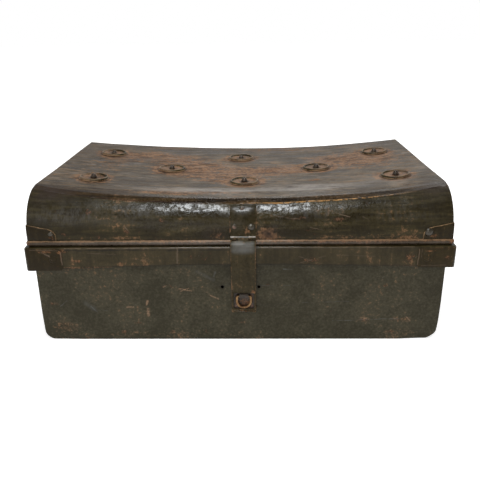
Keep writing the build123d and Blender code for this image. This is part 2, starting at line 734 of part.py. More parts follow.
with BuildPart() as roundel_studs:
    for seat in roundel_seats:
        section = Plane(origin=seat.origin, x_dir=seat.x_dir, z_dir=-seat.y_dir)
        base = roundel_play + roundel_sheet + lap_gap
        tail = sheet + lap_gap
        with BuildSketch(section):
            with BuildLine():
                Polyline((0, base + stud_height), (0, -tail - tail_height),
                         (tail_diameter / 2, -tail - tail_height), (tail_diameter / 2, -tail),
                         (shank_diameter / 2, -tail), (shank_diameter / 2, base),
                         (stud_base / 2, base))
                Bezier((stud_base / 2, base), (stud_base / 2, base + stud_waist),
                       (stud_tip / 2, base + stud_waist),
                       (stud_tip / 2, base + stud_shoulder))
                Line((stud_tip / 2, base + stud_shoulder),
                     (stud_tip / 4, base + stud_height))
                Line((stud_tip / 4, base + stud_height), (0, base + stud_height))
            make_face()
        revolve(axis=Axis(seat.origin, seat.z_dir))
        with BuildSketch(seat.offset(base + stud_height - stud_slot_depth)):
            Rectangle(stud_slot, 2 * stud_base)
        extrude(amount=2 * stud_slot_depth, mode=Mode.SUBTRACT)
roundel_studs.part.label = "roundel_studs"
export_step(roundel_studs.part, "parts/roundel_studs.step")

# ---- the hasp -------------------------------------------------------------------------------
plate_side_barrel = (hasp_width - hasp_barrel) / 2 - barrel_play
hasp_bore = hasp_pin_diameter + 2 * pin_play
plate_foot_z = pin_z + hasp_plate_foot
plate_head = brow_seat(hasp_x, hasp_plate_top, hasp_plate_out).origin

with BuildPart() as hasp_plate:
    add(lid_form(-hasp_plate_out, hasp_x + hasp_plate_width, shelf_top))
    add(lid_form(-lap_gap, lid_half, shelf_top - reach_past), mode=Mode.SUBTRACT)
    with BuildSketch(Plane.XZ.offset(-plate_head.Y)):
        with Locations((hasp_x, (plate_foot_z + plate_head.Z) / 2)):
            RectangleRounded(hasp_plate_width, plate_head.Z - plate_foot_z, hasp_plate_corner)
    extrude(amount=lid_front, mode=Mode.INTERSECT)
    # a short step joins the plate's foot to the top of its two barrels
    with Locations((hasp_x, pin_y, pin_z + hasp_knuckle / 2)):
        Box(hasp_width, hasp_pin_out + hasp_step_in, hasp_plate_sheet,
            align=(Align.CENTER, Align.MIN, Align.MAX))
    with Locations((hasp_x, pin_y, pin_z)):
        Box(hasp_barrel + 2 * barrel_play, hasp_knuckle + 2 * barrel_play,
            hasp_knuckle + 2 * barrel_play, mode=Mode.SUBTRACT)
    for hand in (-1, 1):
        barrel(hasp_x + hand * (hasp_width - plate_side_barrel) / 2, pin_y, pin_z,
               hasp_knuckle, plate_side_barrel)
    barrel(hasp_x, pin_y, pin_z, hasp_bore, hasp_plate_width, Mode.SUBTRACT)
    drill(hasp_seats, hole_radius)
hasp_plate.part.label = "hasp_plate"
export_step(hasp_plate.part, "parts/hasp_plate.step")

with BuildPart() as hasp_plate_rivets:
    for seat, head in zip(hasp_seats, hasp_heads):
        add(rivet(seat, head, hasp_grip))
hasp_plate_rivets.part.label = "hasp_plate_rivets"
export_step(hasp_plate_rivets.part, "parts/hasp_plate_rivets.step")

with BuildPart() as hasp_pin:
    barrel(hasp_x, pin_y, pin_z, hasp_pin_diameter, hasp_width)
hasp_pin.part.label = "hasp_pin"
export_step(hasp_pin.part, "parts/hasp_pin.step")

strap_top_y = pin_y - (hasp_knuckle - hasp_sheet) / 2
bulge_y = -(lid_front + hasp_bulge)
foot_y = -(body_front_y + hasp_standoff)
notch_drop = hasp_knuckle / 2 + barrel_play
with BuildPart() as hasp_strap:
    with BuildSketch(Plane.YZ.offset(hasp_x)):
        with BuildLine():
            FilletPolyline((strap_top_y, pin_z), (strap_top_y, pin_z - hasp_neck),
                           (bulge_y, shelf_top + hasp_bulge_top),
                           (bulge_y + hasp_lean, band_bottom),
                           (foot_y, hasp_knee), (foot_y, hasp_foot + hasp_lip_rise),
                           (foot_y - hasp_lip, hasp_foot), radius=hasp_bends)
        trace(line_width=hasp_sheet)
    extrude(amount=hasp_width / 2, both=True)
    with BuildSketch(Plane.XZ) as front_view:
        with Locations((hasp_x, hasp_foot - hasp_sheet)):
            Rectangle(hasp_width, pin_z, align=(Align.CENTER, Align.MIN))
        fillet(front_view.vertices().group_by(Axis.Y)[0], hasp_foot_corner)
        with Locations((hasp_x, (window_top + window_bottom) / 2)):
            RectangleRounded(window_width, window_top - window_bottom, window_corner,
                             mode=Mode.SUBTRACT)
        for hand in (-1, 1):
            with Locations((hasp_x + hand * (hasp_barrel / 2 + barrel_play / 2 + hasp_width / 2),
                            pin_z - notch_drop)):
                Rectangle(hasp_width, 4 * notch_drop, align=(Align.CENTER, Align.MIN),
                          mode=Mode.SUBTRACT)
    extrude(amount=2 * lid_front, mode=Mode.INTERSECT)
    barrel(hasp_x, pin_y, pin_z, hasp_knuckle, hasp_barrel)
    barrel(hasp_x, pin_y, pin_z, hasp_bore, hasp_width, Mode.SUBTRACT)
hasp_strap.part.label = "hasp_strap"
export_step(hasp_strap.part, "parts/hasp_strap.step")
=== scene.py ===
"""Looks of a small worn tin trunk: dented painted sheet, a rusty top, a hasp over a brass ring.

Lengths are in metres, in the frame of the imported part: +X right, -Y front, +Z up. The places and
sizes of marks in the finishes are in millimetres, in the same frame.
"""

import math

import bmesh
import bpy
from bpy.props import FloatProperty, FloatVectorProperty, PointerProperty
from mathutils import Matrix, Vector, noise


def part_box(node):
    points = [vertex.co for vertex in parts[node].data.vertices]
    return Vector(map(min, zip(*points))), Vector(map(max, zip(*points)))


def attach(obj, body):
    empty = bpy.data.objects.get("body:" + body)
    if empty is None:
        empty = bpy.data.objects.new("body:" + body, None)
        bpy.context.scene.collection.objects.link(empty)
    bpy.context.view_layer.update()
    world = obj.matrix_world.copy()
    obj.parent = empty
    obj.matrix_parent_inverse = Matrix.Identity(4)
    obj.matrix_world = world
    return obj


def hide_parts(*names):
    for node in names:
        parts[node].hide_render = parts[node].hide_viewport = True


bl_info = {
    "name": "Worn Tin Trunk",
    "version": (1, 0, 0),
    "blender": (4, 5, 0),
    "location": "View3D > Sidebar > Trunk",
    "description": "Dresses the packed tin trunk with dented sheet, worn paint and a studio",
    "category": "Object",
}

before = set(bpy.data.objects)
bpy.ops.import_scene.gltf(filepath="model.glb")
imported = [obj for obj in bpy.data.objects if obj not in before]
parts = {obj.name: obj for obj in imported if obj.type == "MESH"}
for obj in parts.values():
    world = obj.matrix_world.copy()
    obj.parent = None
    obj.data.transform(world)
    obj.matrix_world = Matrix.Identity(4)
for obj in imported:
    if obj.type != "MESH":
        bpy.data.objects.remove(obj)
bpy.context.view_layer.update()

MM = 0.001
QUARTER = math.pi / 2
crown_low, crown_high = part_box("lid_crown")
band_low, band_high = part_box("lid_band")
bead_low, bead_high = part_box("lid_bead")
tub_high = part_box("body_front")[1]
strap_low, strap_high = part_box("hasp_strap")
plate_low, plate_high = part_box("hasp_plate")
HALF = crown_high.x
FRONT = crown_high.y
SHELF = crown_low.z
HASP_X = (strap_low.x + strap_high.x) / 2
HASP_MM = HASP_X / MM
BEAD_TOP = bead_high.z - 2.4 * MM
LOCK_HOLES_X, LOCK_HOLE_Z = (-26.5, 31.4), 94.0
ROUNDELS = [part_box(f"lid_roundel_{number}") for number in range(1, 9)]
ROUNDEL_CENTRES = [((low + high) / 2).xy for low, high in ROUNDELS]


# ---- sizes and colours that a user would change ---------------------------------------------
def length(name, description, default):
    """A length setting, in metres."""
    return FloatProperty(name=name, description=description, default=default, unit="LENGTH")


def angle(name, description, degrees):
    """An angle setting."""
    return FloatProperty(
        name=name, description=description, default=math.radians(degrees), subtype="ANGLE"
    )


def power(name, description, watts):
    """The power of a lamp."""
    return FloatProperty(name=name, description=description, default=watts)


def tint(name, description, *default):
    """A colour setting."""
    return FloatVectorProperty(
        name=name, description=description, subtype="COLOR", min=0, max=1, default=default
    )


class TrunkSheet(bpy.types.PropertyGroup):
    """Sizes of the dented sheet."""

    thickness: length("Thickness", "Sheet thickness", 0.9 * MM)
    crown_sag: length("Sag", "How far the middle of the top hangs below its ends", 17 * MM)
    brow_radius: length("Brow radius", "Rounded front of the lid", 64 * MM)
    heel_radius: length("Heel radius", "Back edge of the lid", 14 * MM)
    crease_depth: FloatProperty(
        name="Crease", description="How flat the brow is behind its crease, 1 being straight",
        default=1.0,
    )
    back_lift: length("Back lift", "How far the back of the top has lifted", 3.6 * MM)
    dent_height: length("Dent height", "Height of the dents in the brow", 0.75 * MM)
    edge_round: length("Edge rounding", "Rounding of the cut edges of plates", 0.28 * MM)


class TrunkPaint(bpy.types.PropertyGroup):
    """Colours of the paint, the rust and the metals."""

    olive: tint("Olive", "Dull paint of the tub", 0.030, 0.025, 0.012)
    olive_light: tint("Pale olive", "Rubbed paint of the tub", 0.066, 0.058, 0.035)
    band_olive: tint("Band olive", "Paint of the band and the strap", 0.023, 0.016, 0.004)
    band_olive_light: tint(
        "Pale band olive", "Rubbed paint of the band and the strap", 0.050, 0.037, 0.015)
    gloss_olive: tint("Gloss olive", "Glossy paint of the lid's front", 0.016, 0.011, 0.003)
    gloss_olive_light: tint(
        "Pale gloss olive", "Rubbed paint of the lid's front", 0.042, 0.032, 0.012)
    fitting_olive: tint("Fittings olive", "Dark paint of the fittings", 0.018, 0.012, 0.004)
    fitting_olive_light: tint(
        "Pale fittings olive", "Rubbed paint of the fittings", 0.036, 0.025, 0.012)
    brown: tint("Brown", "Weathered paint of the top", 0.022, 0.014, 0.006)
    grey: tint("Grey", "Chalky paint of the top", 0.118, 0.084, 0.051)
    rust_dark: tint("Dark rust", "Old rust", 0.06, 0.027, 0.012)
    rust_dusty: tint("Dusty rust", "Dry rust on the top", 0.30, 0.158, 0.080)
    rust_bright: tint("Bright rust", "Fresh rust and bare primer", 0.3, 0.145, 0.068)
    scratch: tint("Scratch", "Scratches and rubbed edges", 0.17, 0.145, 0.115)
    brass: tint("Brass", "Tarnished brass of the ring", 0.24, 0.148, 0.072)
    steel: tint("Steel", "Dull steel of rivets and rods", 0.17, 0.14, 0.11)


class TrunkStage(bpy.types.PropertyGroup):
    """Camera and lamps."""

    lens: FloatProperty(
        name="Lens", description="Focal length on a 36 mm sensor, in millimetres", default=43.5
    )
    turn: angle("Turn", "How far the camera looks to the left", 1.55)
    tip: angle("Tip", "How far the camera looks down", 20.39)
    roll: angle("Roll", "How far the camera leans", -0.84)
    overhead: power("Overhead", "Power of the softbox above the brow, in watts", 8.0)
    behind: power("Behind", "Power of the softbox behind the lid, in watts", 20.0)
    fill: power("Fill", "Power of the lamp in front, in watts", 14.0)
    room: FloatProperty(name="Room", description="Strength of the even room light", default=0.42)


def settings():
    """The sheet sizes, the colours and the stage settings."""
    scene = bpy.context.scene
    return scene.trunk_sheet, scene.trunk_paint, scene.trunk_stage


# ---- modelling helpers ----------------------------------------------------------------------
def start_mesh():
    """Nothing is selected and no mesh is in edit mode."""
    if bpy.context.object and bpy.context.object.mode != "OBJECT":
        bpy.ops.object.mode_set(mode="OBJECT")
    bpy.ops.object.select_all(action="DESELECT")


def take_up(piece):
    """Makes this piece the only one selected and the active one."""
    start_mesh()
    piece.select_set(True)
    bpy.context.view_layer.objects.active = piece


def finish_piece(piece, name, body, replaced, finish, smooth=35.0):
    """Names a finished piece, gives it its finish and puts it on its body."""
    take_up(piece)
    bpy.ops.object.transform_apply(location=True, rotation=True, scale=True)
    bpy.ops.object.shade_smooth_by_angle(angle=math.radians(smooth))
    piece.name = name
    piece.data.name = name
    piece.data.materials.clear()
    piece.data.materials.append(material(finish))
    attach(piece, body)
    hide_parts(replaced)
    return piece


def formed_sheet(columns, rows, place):
    """A grid whose vertex in each column and row is put at place(column, row)."""
    start_mesh()
    bpy.ops.mesh.primitive_grid_add(
        x_subdivisions=columns - 1, y_subdivisions=rows - 1, size=1, location=(0, 0, 0)
    )
    sheet = bpy.context.object
    for vertex in sheet.data.vertices:
        column = round((vertex.co.x + 0.5) * (columns - 1))
        row = round((vertex.co.y + 0.5) * (rows - 1))
        vertex.co = place(column, row)
    return sheet


def apply_modifier(piece, kind, **values):
    """Adds one modifier with these values and applies it."""
    take_up(piece)
    modifier = piece.modifiers.new(kind.title(), kind)
    for name, value in values.items():
        setattr(modifier, name, value)
    bpy.ops.object.modifier_apply(modifier=modifier.name)


def merge_and_turn_out(piece):
    """Closes the seams of a wrapped grid and points its faces outwards."""
    take_up(piece)
    bpy.ops.object.mode_set(mode="EDIT")
    bpy.ops.mesh.select_all(action="SELECT")
    bpy.ops.mesh.remove_doubles(threshold=0.01 * MM)
    bpy.ops.mesh.normals_make_consistent(inside=False)
    bpy.ops.object.mode_set(mode="OBJECT")


def softened_copy(node, rounding):
    """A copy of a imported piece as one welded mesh, its cut edges rounded."""
    piece = parts[node].copy()
    piece.data = parts[node].data.copy()
    piece.parent = None
    for key in list(piece.keys()):
        del piece[key]
    bpy.context.scene.collection.objects.link(piece)
    take_up(piece)
    if piece.data.has_custom_normals:
        bpy.ops.mesh.customdata_custom_splitnormals_clear()
    bpy.ops.object.mode_set(mode="EDIT")
    bpy.ops.mesh.select_mode(type="EDGE")
    bpy.ops.mesh.select_all(action="SELECT")
    bpy.ops.mesh.remove_doubles(threshold=0.002 * MM)
    bpy.ops.mesh.dissolve_limited(angle_limit=math.radians(0.6))
    bpy.ops.mesh.select_all(action="DESELECT")
    bpy.ops.mesh.edges_select_sharp(sharpness=math.radians(38))
    bpy.ops.mesh.bevel(offset=rounding, segments=2, clamp_overlap=True)
    bpy.ops.object.mode_set(mode="OBJECT")
    return piece


def turned_piece(stations, segments):
    """A turned piece: a circle drawn in through (radius, height) stations, closed in the middle."""
    start_mesh()
    radius, height = stations[0]
    bpy.ops.mesh.primitive_circle_add(vertices=segments, radius=radius, location=(0, 0, height))
    piece = bpy.context.object
    bpy.ops.object.transform_apply(location=True)
    bpy.ops.object.mode_set(mode="EDIT")
    bpy.ops.mesh.select_all(action="SELECT")
    for next_radius, next_height in stations[1:]:
        bpy.ops.mesh.extrude_region_move(
            TRANSFORM_OT_translate={"value": (0, 0, next_height - height)}
        )
        shrink = next_radius / radius
        bpy.ops.transform.resize(
            value=(shrink, shrink, 1), center_override=(0, 0, next_height)
        )
        radius, height = next_radius, next_height
    bpy.ops.mesh.merge(type="CENTER")
    bpy.ops.mesh.select_all(action="SELECT")
    bpy.ops.mesh.normals_make_consistent(inside=False)
    bpy.ops.object.mode_set(mode="OBJECT")
    return piece


def copied_to(piece, seat):
    """A copy of a modelled piece, with its own mesh, on another seat."""
    copy = piece.copy()
    copy.data = piece.data.copy()
    bpy.context.scene.collection.objects.link(copy)
    copy.matrix_world = seat
    return copy


def seat_matrix(place, outwards):
    """The placing of a turned piece whose own +Z points outwards."""
    return Matrix.Translation(place) @ Vector(outwards).to_track_quat("Z", "Y").to_matrix().to_4x4()


def store_values(piece, name, values):
    """Keeps one number for each vertex under this name, for the piece's finish."""
    stored = piece.data.attributes.new(name, "FLOAT", "POINT")
    stored.data.foreach_set("value", values)


def smooth_step(value, low, high):
    """0 below low, 1 above high and an even rise between."""
    share = min(1.0, max(0.0, (value - low) / (high - low)))
    return share * share * (3 - 2 * share)


def bell(value, centre, width):
    """1 at the centre, dying away over the width on both sides."""
    return math.exp(-((value - centre) / width) ** 2)


def ripple(x, y, wavelength, seed):
    """Smooth bumps between about -1 and 1, the same at each run."""
    return noise.noise(Vector((x / wavelength + seed, y / wavelength, seed)))


# ---- shader helpers -------------------------------------------------------------------------
def feed(socket, value):
    """Links a mask or a socket to a shader input, or sets a number or a colour on it."""
    if isinstance(value, Mask):
        value = value.socket
    if isinstance(value, bpy.types.NodeSocket):
        socket.id_data.links.new(value, socket)
    elif socket.type == "RGBA":
        socket.default_value = (*value, 1)
    else:
        socket.default_value = value


def add_node(tree, kind, inputs=None, **values):
    """Adds a shader node; inputs are values, masks or sockets to link."""
    new = tree.nodes.new("ShaderNode" + kind)
    for name, value in values.items():
        setattr(new, name, value)
    for name, value in (inputs or {}).items():
        feed(new.inputs[name], value)
    return new


class Mask:
    """A value that changes over a surface, worked out by Math nodes as it is written."""

    def __init__(self, socket):
        self.socket = socket

    def maths(self, operation, first, second=0.0, clamp=False):
        """One Math node in this mask's tree."""
        tree = self.socket.id_data
        node = add_node(tree, "Math", {0: first, 1: second}, operation=operation, use_clamp=clamp)
        return Mask(node.outputs[0])

    def __add__(self, other):
        return self.maths("ADD", self, other)

    def __sub__(self, other):
        return self.maths("SUBTRACT", self, other)

    def __mul__(self, other):
        return self.maths("MULTIPLY", self, other)

    def __radd__(self, other):
        return self.maths("ADD", other, self)

    def __rsub__(self, other):
        return self.maths("SUBTRACT", other, self)

    def __rtruediv__(self, other):
        return self.maths("DIVIDE", other, self)

    def __abs__(self):
        return self.maths("ABSOLUTE", self)

    __rmul__ = __mul__

    def or_more(self, other):
        """The larger of two masks."""
        return self.maths("MAXIMUM", self, other)

    def rise(self, low, high, top=1.0):
        """A smooth rise from 0 at low to top at high."""
        return Mask(add_node(
            self.socket.id_data, "MapRange",
            {"Value": self, "From Min": low, "From Max": high, "To Max": top},
            interpolation_type="SMOOTHSTEP",
        ).outputs[0])

    def fall(self, low, high):
        """A smooth fall from 1 at low to 0 at high."""
        return 1.0 - self.rise(low, high)

    def line(self, centre, width, strength=1.0):
        """A line where this value is at the centre, fading out at the width."""
        return use_group(self.socket.id_data, "Line", Value=self, Centre=centre, Width=width,
                         Strength=strength)["Falloff"]

    def mix(self, first, second):
        """A colour that goes from the first to the second as this mask rises."""
        node = self.socket.id_data.nodes.new("ShaderNodeMix")
        node.data_type = "RGBA"
        for index, value in ((0, self), (6, first), (7, second)):
            feed(node.inputs[index], value)
        return node.outputs[2]


def total(values):
    """The sum of several masks, kept between 0 and 1."""
    result = values[0]
    for value in values[1:]:
        result = value.maths("ADD", result, value, clamp=True)
    return result


def vector_maths(operation, first, second=(0, 0, 0), output=0, **inputs):
    """One Vector Math node in the first socket's tree."""
    node = add_node(first.id_data, "VectorMath", {0: first, 1: second, **inputs},
                    operation=operation)
    return node.outputs[output]


def distance(first, second):
    """The length between two places, as a mask."""
    return Mask(vector_maths("LENGTH", vector_maths("SUBTRACT", first, second), output="Value"))


def stretched(place, x, y, z):
    """The place with its axes scaled, so that a pattern on it is drawn out."""
    return add_node(place.id_data, "Mapping", {"Vector": place, "Scale": (x, y, z)}).outputs[0]


def cloud_noise(place, scale, detail=4.0, roughness=0.55, distortion=0.0):
    """One noise texture's value."""
    return Mask(add_node(
        place.id_data, "TexNoise", {"Vector": place, "Scale": scale, "Detail": detail,
                                    "Roughness": roughness, "Distortion": distortion},
    ).outputs["Fac"])


def new_group(name, inputs, outputs):
    """A shader group; returns its input sockets and a function that links its outputs."""
    group = bpy.data.node_groups.new(name, "ShaderNodeTree")
    for label, default in inputs.items():
        kind = "Float" if isinstance(default, float) else "Vector"
        socket = group.interface.new_socket(label, in_out="INPUT", socket_type="NodeSocket" + kind)
        socket.default_value = default
    for label in outputs:
        group.interface.new_socket(label, in_out="OUTPUT", socket_type="NodeSocketFloat")
    entry, leave = group.nodes.new("NodeGroupInput"), group.nodes.new("NodeGroupOutput")
    values = {
        socket.name: Mask(socket) if socket.type == "VALUE" else socket
        for socket in entry.outputs if socket.name
    }
    return values, lambda label, value: feed(leave.inputs[label], value)


def use_group(tree, name, **inputs):
    """Places a shader group in a tree and returns its outputs as masks, by name."""
    node = tree.nodes.new("ShaderNodeGroup")
    node.node_tree = bpy.data.node_groups[name]
    for label, value in inputs.items():
        feed(node.inputs[label], value)
    return {socket.name: Mask(socket) for socket in node.outputs}


def build_chips_group():
    """Ragged chips: Cover 0 gives none, 1 gives a sheet that is nearly bare."""
    entry, leave = new_group(
        "Chips", {"Vector": (0, 0, 0), "Size": 10 * MM, "Cover": 0.3}, ["Mask", "Halo"]
    )
    cloud = cloud_noise(entry["Vector"], 1.0 / entry["Size"], 6.0, 0.62, 0.7)
    limit = 0.76 - entry["Cover"] * 0.42
    leave("Mask", cloud.rise(limit, limit + 0.035))
    leave("Halo", cloud.rise(limit - 0.09, limit))


def build_scratches_group():
    """Thin broken scratches along the vector's own X."""
    entry, leave = new_group(
        "Scratches", {"Vector": (0, 0, 0), "Length": 40 * MM, "Cover": 0.3}, ["Mask"]
    )
    drawn_out = vector_maths("MULTIPLY", entry["Vector"], (0.025, 1.0, 1.0))
    lines = cloud_noise(drawn_out, 28.0 / entry["Length"], 2.0, 0.5, 0.3)
    gaps = cloud_noise(entry["Vector"], 1.4 / entry["Length"], 3.0)
    limit = 0.80 - entry["Cover"] * 0.2
    leave("Mask", lines.rise(limit, limit + 0.05) * gaps.rise(0.46, 0.58))


def build_spot_group():
    """Falloff from 1 at the centre to 0 at the reach, an ellipsoid."""
    entry, leave = new_group(
        "Spot", {"Vector": (0, 0, 0), "Centre": (0, 0, 0), "Reach": (1, 1, 1), "Strength": 1.0},
        ["Falloff"],
    )
    away = vector_maths("SUBTRACT", entry["Vector"], entry["Centre"])
    share = vector_maths("DIVIDE", away, entry["Reach"])
    reach = Mask(vector_maths("LENGTH", share, output="Value"))
    leave("Falloff", reach.fall(0.15, 1.0) * entry["Strength"])


def build_line_group():
    """Falloff from 1 on a line, where Value equals Centre, to 0 at Width from it."""
    entry, leave = new_group(
        "Line", {"Value": 0.0, "Centre": 0.0, "Width": 2 * MM, "Strength": 1.0}, ["Falloff"]
    )
    away = abs(entry["Value"] - entry["Centre"])
    leave("Falloff", away.fall(0.0, entry["Width"]) * entry["Strength"])


def build_stroke_group():
    """A slightly wavering line from Start to End, for scratches, painted highlights and painted shade.
    """
    entry, leave = new_group(
        "Stroke",
        {"Vector": (0, 0, 0), "Start": (0, 0, 0), "End": (0, 0, 1), "Width": 1 * MM,
         "Strength": 1.0},
        ["Falloff"],
    )
    place, start = entry["Vector"], entry["Start"]
    waver = add_node(place.id_data, "TexNoise", {"Vector": place, "Scale": 90.0}).outputs["Color"]
    shift = vector_maths("SCALE", vector_maths("SUBTRACT", waver, (0.5, 0.5, 0.5)),
                         Scale=3.5 * MM)
    from_start = vector_maths("SUBTRACT", vector_maths("ADD", place, shift), start)
    whole = vector_maths("SUBTRACT", entry["End"], start)
    run = Mask(vector_maths("DOT_PRODUCT", from_start, whole, "Value"))
    along = run.maths("DIVIDE", run, vector_maths("DOT_PRODUCT", whole, whole, "Value"), clamp=True)
    away = distance(from_start, vector_maths("SCALE", whole, Scale=along))
    leave("Falloff", away.fall(0.0, entry["Width"]) * entry["Strength"])


def build_mottle_group():
    """Uneven paint: Cloud is broad and soft, Grain is fine, Speck finer, Streak follows Stretch."""
    entry, leave = new_group(
        "Mottle", {"Vector": (0, 0, 0), "Size": 60 * MM, "Stretch": (1.0, 1.0, 0.12)},
        ["Cloud", "Grain", "Speck", "Streak"],
    )
    place, scale = entry["Vector"], 1.0 / entry["Size"]
    tall = vector_maths("MULTIPLY", place, entry["Stretch"])
    leave("Cloud", cloud_noise(place, scale, 4.0).rise(0.3, 0.7))
    leave("Grain", cloud_noise(place, scale * 13.0, 5.0, 0.65).rise(0.3, 0.7))
    leave("Speck", cloud_noise(place, scale * 45.0, 3.0, 0.7).rise(0.3, 0.7))
    leave("Streak", cloud_noise(tall, scale * 9.0, 4.0, 0.6).rise(0.3, 0.7))


def new_material(name):
    """A material with an empty Principled surface; returns it, its shader and Object place."""
    made = bpy.data.materials.new(name)
    made.use_nodes = True
    tree = made.node_tree
    tree.nodes.clear()
    surface = tree.nodes.new("ShaderNodeBsdfPrincipled")
    out = tree.nodes.new("ShaderNodeOutputMaterial")
    tree.links.new(surface.outputs[0], out.inputs["Surface"])
    return made, surface, tree.nodes.new("ShaderNodeTexCoord").outputs["Object"]


def attribute(tree, name):
    """One of the piece's own numbers."""
    return Mask(add_node(tree, "Attribute", attribute_name=name).outputs["Fac"])


def axis_values(place):
    """The place's X, Y and Z."""
    outputs = add_node(place.id_data, "SeparateXYZ", {0: place}).outputs
    return {socket.name: Mask(socket) for socket in outputs}


def in_metres(values):
    """A place given in millimetres."""
    return [value * MM for value in values]


def spot(place, centre, reach, strength=1.0):
    """Falloff round one centre, in millimetres."""
    return use_group(place.id_data, "Spot", Vector=place, Centre=in_metres(centre),
                     Reach=in_metres(reach), Strength=strength)["Falloff"]


def spots(place, fields):
    """Falloffs round a list of (centre, reach, strength)."""
    return [spot(place, *field) for field in fields]


def strokes(place, lines):
    """One mask of lines, for scratches, painted highlights and painted shade, given as (start, end,
    width, strength), in millimetres.
    """
    return total([
        use_group(place.id_data, "Stroke", Vector=place, Start=in_metres(start),
                  End=in_metres(end), Width=width * MM, Strength=strength)["Falloff"]
        for start, end, width, strength in lines
    ])


def spots_at(y, depth, fields):
    """Spots at one Y and of one depth, given as (x, z, reach along X, reach along Z, strength)."""
    return [((x, y, z), (wide, depth, tall), strength) for x, z, wide, tall, strength in fields]


def strokes_at(y, fields):
    """Strokes at one Y, given as (x, z, x at the end, z at the end, width, strength)."""
    return [((x, y, z), (end_x, y, end_z), width, strength)
            for x, z, end_x, end_z, width, strength in fields]


def colours():
    """The colours of the paint, the rust and the metals."""
    return settings()[1]


def bumped(surface, height):
    """Lets a height in metres bend the surface's normals."""
    bump = add_node(
        surface.id_data, "Bump", {"Strength": 1.0, "Distance": 1.0, "Height": height}
    )
    feed(surface.inputs["Normal"], bump.outputs[0])


def worn_paint(surface, place, tones, cover, bloom=0.0, gloss=0.4, shine=0.2, size=60 * MM,
               chip_size=9 * MM, scuffs=0.35, stretch=(1.0, 1.0, 0.12), marks=(), dents=0.0,
               grain_bump=0.05 * MM, uneven_share=(0.55, 0.3, 0.3), streak_rough=None,
               streak_bump=None, fresh_tone=None, coat=None, extra_height=None):
    """Old paint in two tones, with soft rust where bloom is high and chips where cover is.

    marks are (mask, colour) laid over the paint; gloss is the roughness of sound paint and
    coat a mask of where it is still varnished. uneven_share is how much the clouds, the grain
    and the streaks each count in the change from the dark to the light tone.
    """
    paint, tree = colours(), place.id_data
    mottle = use_group(tree, "Mottle", Vector=place, Size=size, Stretch=stretch)
    cloud, grain, streak = (mottle[label] for label in ("Cloud", "Grain", "Streak"))
    uneven = total([part * share for part, share in zip((cloud, grain, streak), uneven_share)])
    colour = uneven.rise(0.2, 0.95).mix(*tones)
    ragged = total([cloud * 0.32, grain * 0.36, streak * 0.32])
    soft = (ragged * 0.95 + bloom).rise(0.62, 1.05)
    colour = (soft * 0.85).mix(colour, grain.mix(paint.rust_dark, paint.rust_dusty))
    broad = use_group(tree, "Chips", Vector=place, Size=chip_size, Cover=cover)
    fine = use_group(tree, "Chips", Vector=place, Size=chip_size * 0.3, Cover=cover * 0.92)
    colour = (broad["Halo"] * 0.55).mix(colour, paint.rust_dark)
    bare = broad["Mask"].or_more(fine["Mask"] * 0.7)
    fresh = mottle["Speck"].mix(paint.rust_dark, fresh_tone or paint.rust_bright)
    colour = bare.mix(colour, fresh)
    for mask, tone in marks:
        colour = mask.mix(colour, tone)
    turned = add_node(tree, "Mapping", {"Vector": place, "Rotation": (0.35, 0.5, 0.3)}).outputs[0]
    scratch = use_group(tree, "Scratches", Vector=turned, Length=30 * MM, Cover=scuffs)["Mask"]
    feed(surface.inputs["Base Color"], (scratch * 0.45).mix(colour, paint.scratch))

    rough = grain * 0.10 + gloss
    if streak_rough:
        rough = rough + streak_rough * streak
    worn = bare.or_more(soft * 0.5)
    feed(surface.inputs["Roughness"], rough.maths("ADD", rough, worn * 0.3, clamp=True))
    surface.inputs["Specular IOR Level"].default_value = shine
    if coat:
        feed(surface.inputs["Coat Weight"], coat)
        surface.inputs["Coat Roughness"].default_value = 0.13

    height = grain * grain_bump + mottle["Speck"] * (grain_bump * 0.2) - bare * (0.12 * MM)
    if dents:
        height = height + cloud * dents
    if streak_bump:
        height = height + streak_bump * streak
    if extra_height:
        height = height + extra_height
    bumped(surface, height)


# ---- materials ------------------------------------------------------------------------------
FRESH_BROWN = (0.19, 0.105, 0.058)
DULL_SCRATCH_AND_HIGHLIGHT = (0.17, 0.12, 0.085)

LID_BLOOMS = [
    ((-92, 10, 232), (120, 80, 60), 0.70), ((-20, -60, 232), (90, 50, 60), 0.62),
    ((62, -5, 233), (120, 52, 60), 0.72), ((205, 50, 238), (170, 100, 60), 0.56),
    ((-160, 90, 236), (150, 80, 60), 0.42), ((-85, -146, 233), (120, 13, 20), 0.6),
    ((-34, -206, 184), (20, 30, 13), 0.4), ((46, -206, 184), (26, 30, 16), 0.45),
    ((0, 175, 236), (320, 40, 40), 0.3), ((-250, 20, 242), (70, 120, 40), 0.22),
]
LID_CHIPS = [
    ((-95, 8, 232), (80, 40, 60), 0.42), ((-20, -62, 232), (40, 20, 60), 0.42),
    ((54, -5, 233), (60, 26, 60), 0.40), ((126, -78, 234), (26, 12, 30), 0.52),
    ((190, 62, 238), (70, 34, 30), 0.38), ((-10, 70, 233), (70, 18, 30), 0.34),
    ((-88, -148, 233), (75, 7, 20), 0.44), ((-231, -194, 217), (9, 12, 7), 0.46),
    ((-118, -198, 204), (10, 14, 6), 0.44), ((-171, -206, 188), (9, 12, 8), 0.48),
    ((-188, -198, 208), (8, 12, 6), 0.42), ((-34, -206, 183), (14, 14, 8), 0.34),
    ((46, -206, 183), (18, 14, 9), 0.38), ((90, -197, 206), (46, 14, 5), 0.36),
    ((155, -200, 204), (18, 14, 5), 0.42), ((112, -205, 189), (16, 10, 3), 0.38),
]
LID_WRINKLES = [
    ((110, -122, 235), (130, 40, 30), 0.8), ((-40, -135, 233), (60, 22, 30), 0.6),
    ((-40, -20, 233), (280, 160, 30), 0.25),
]
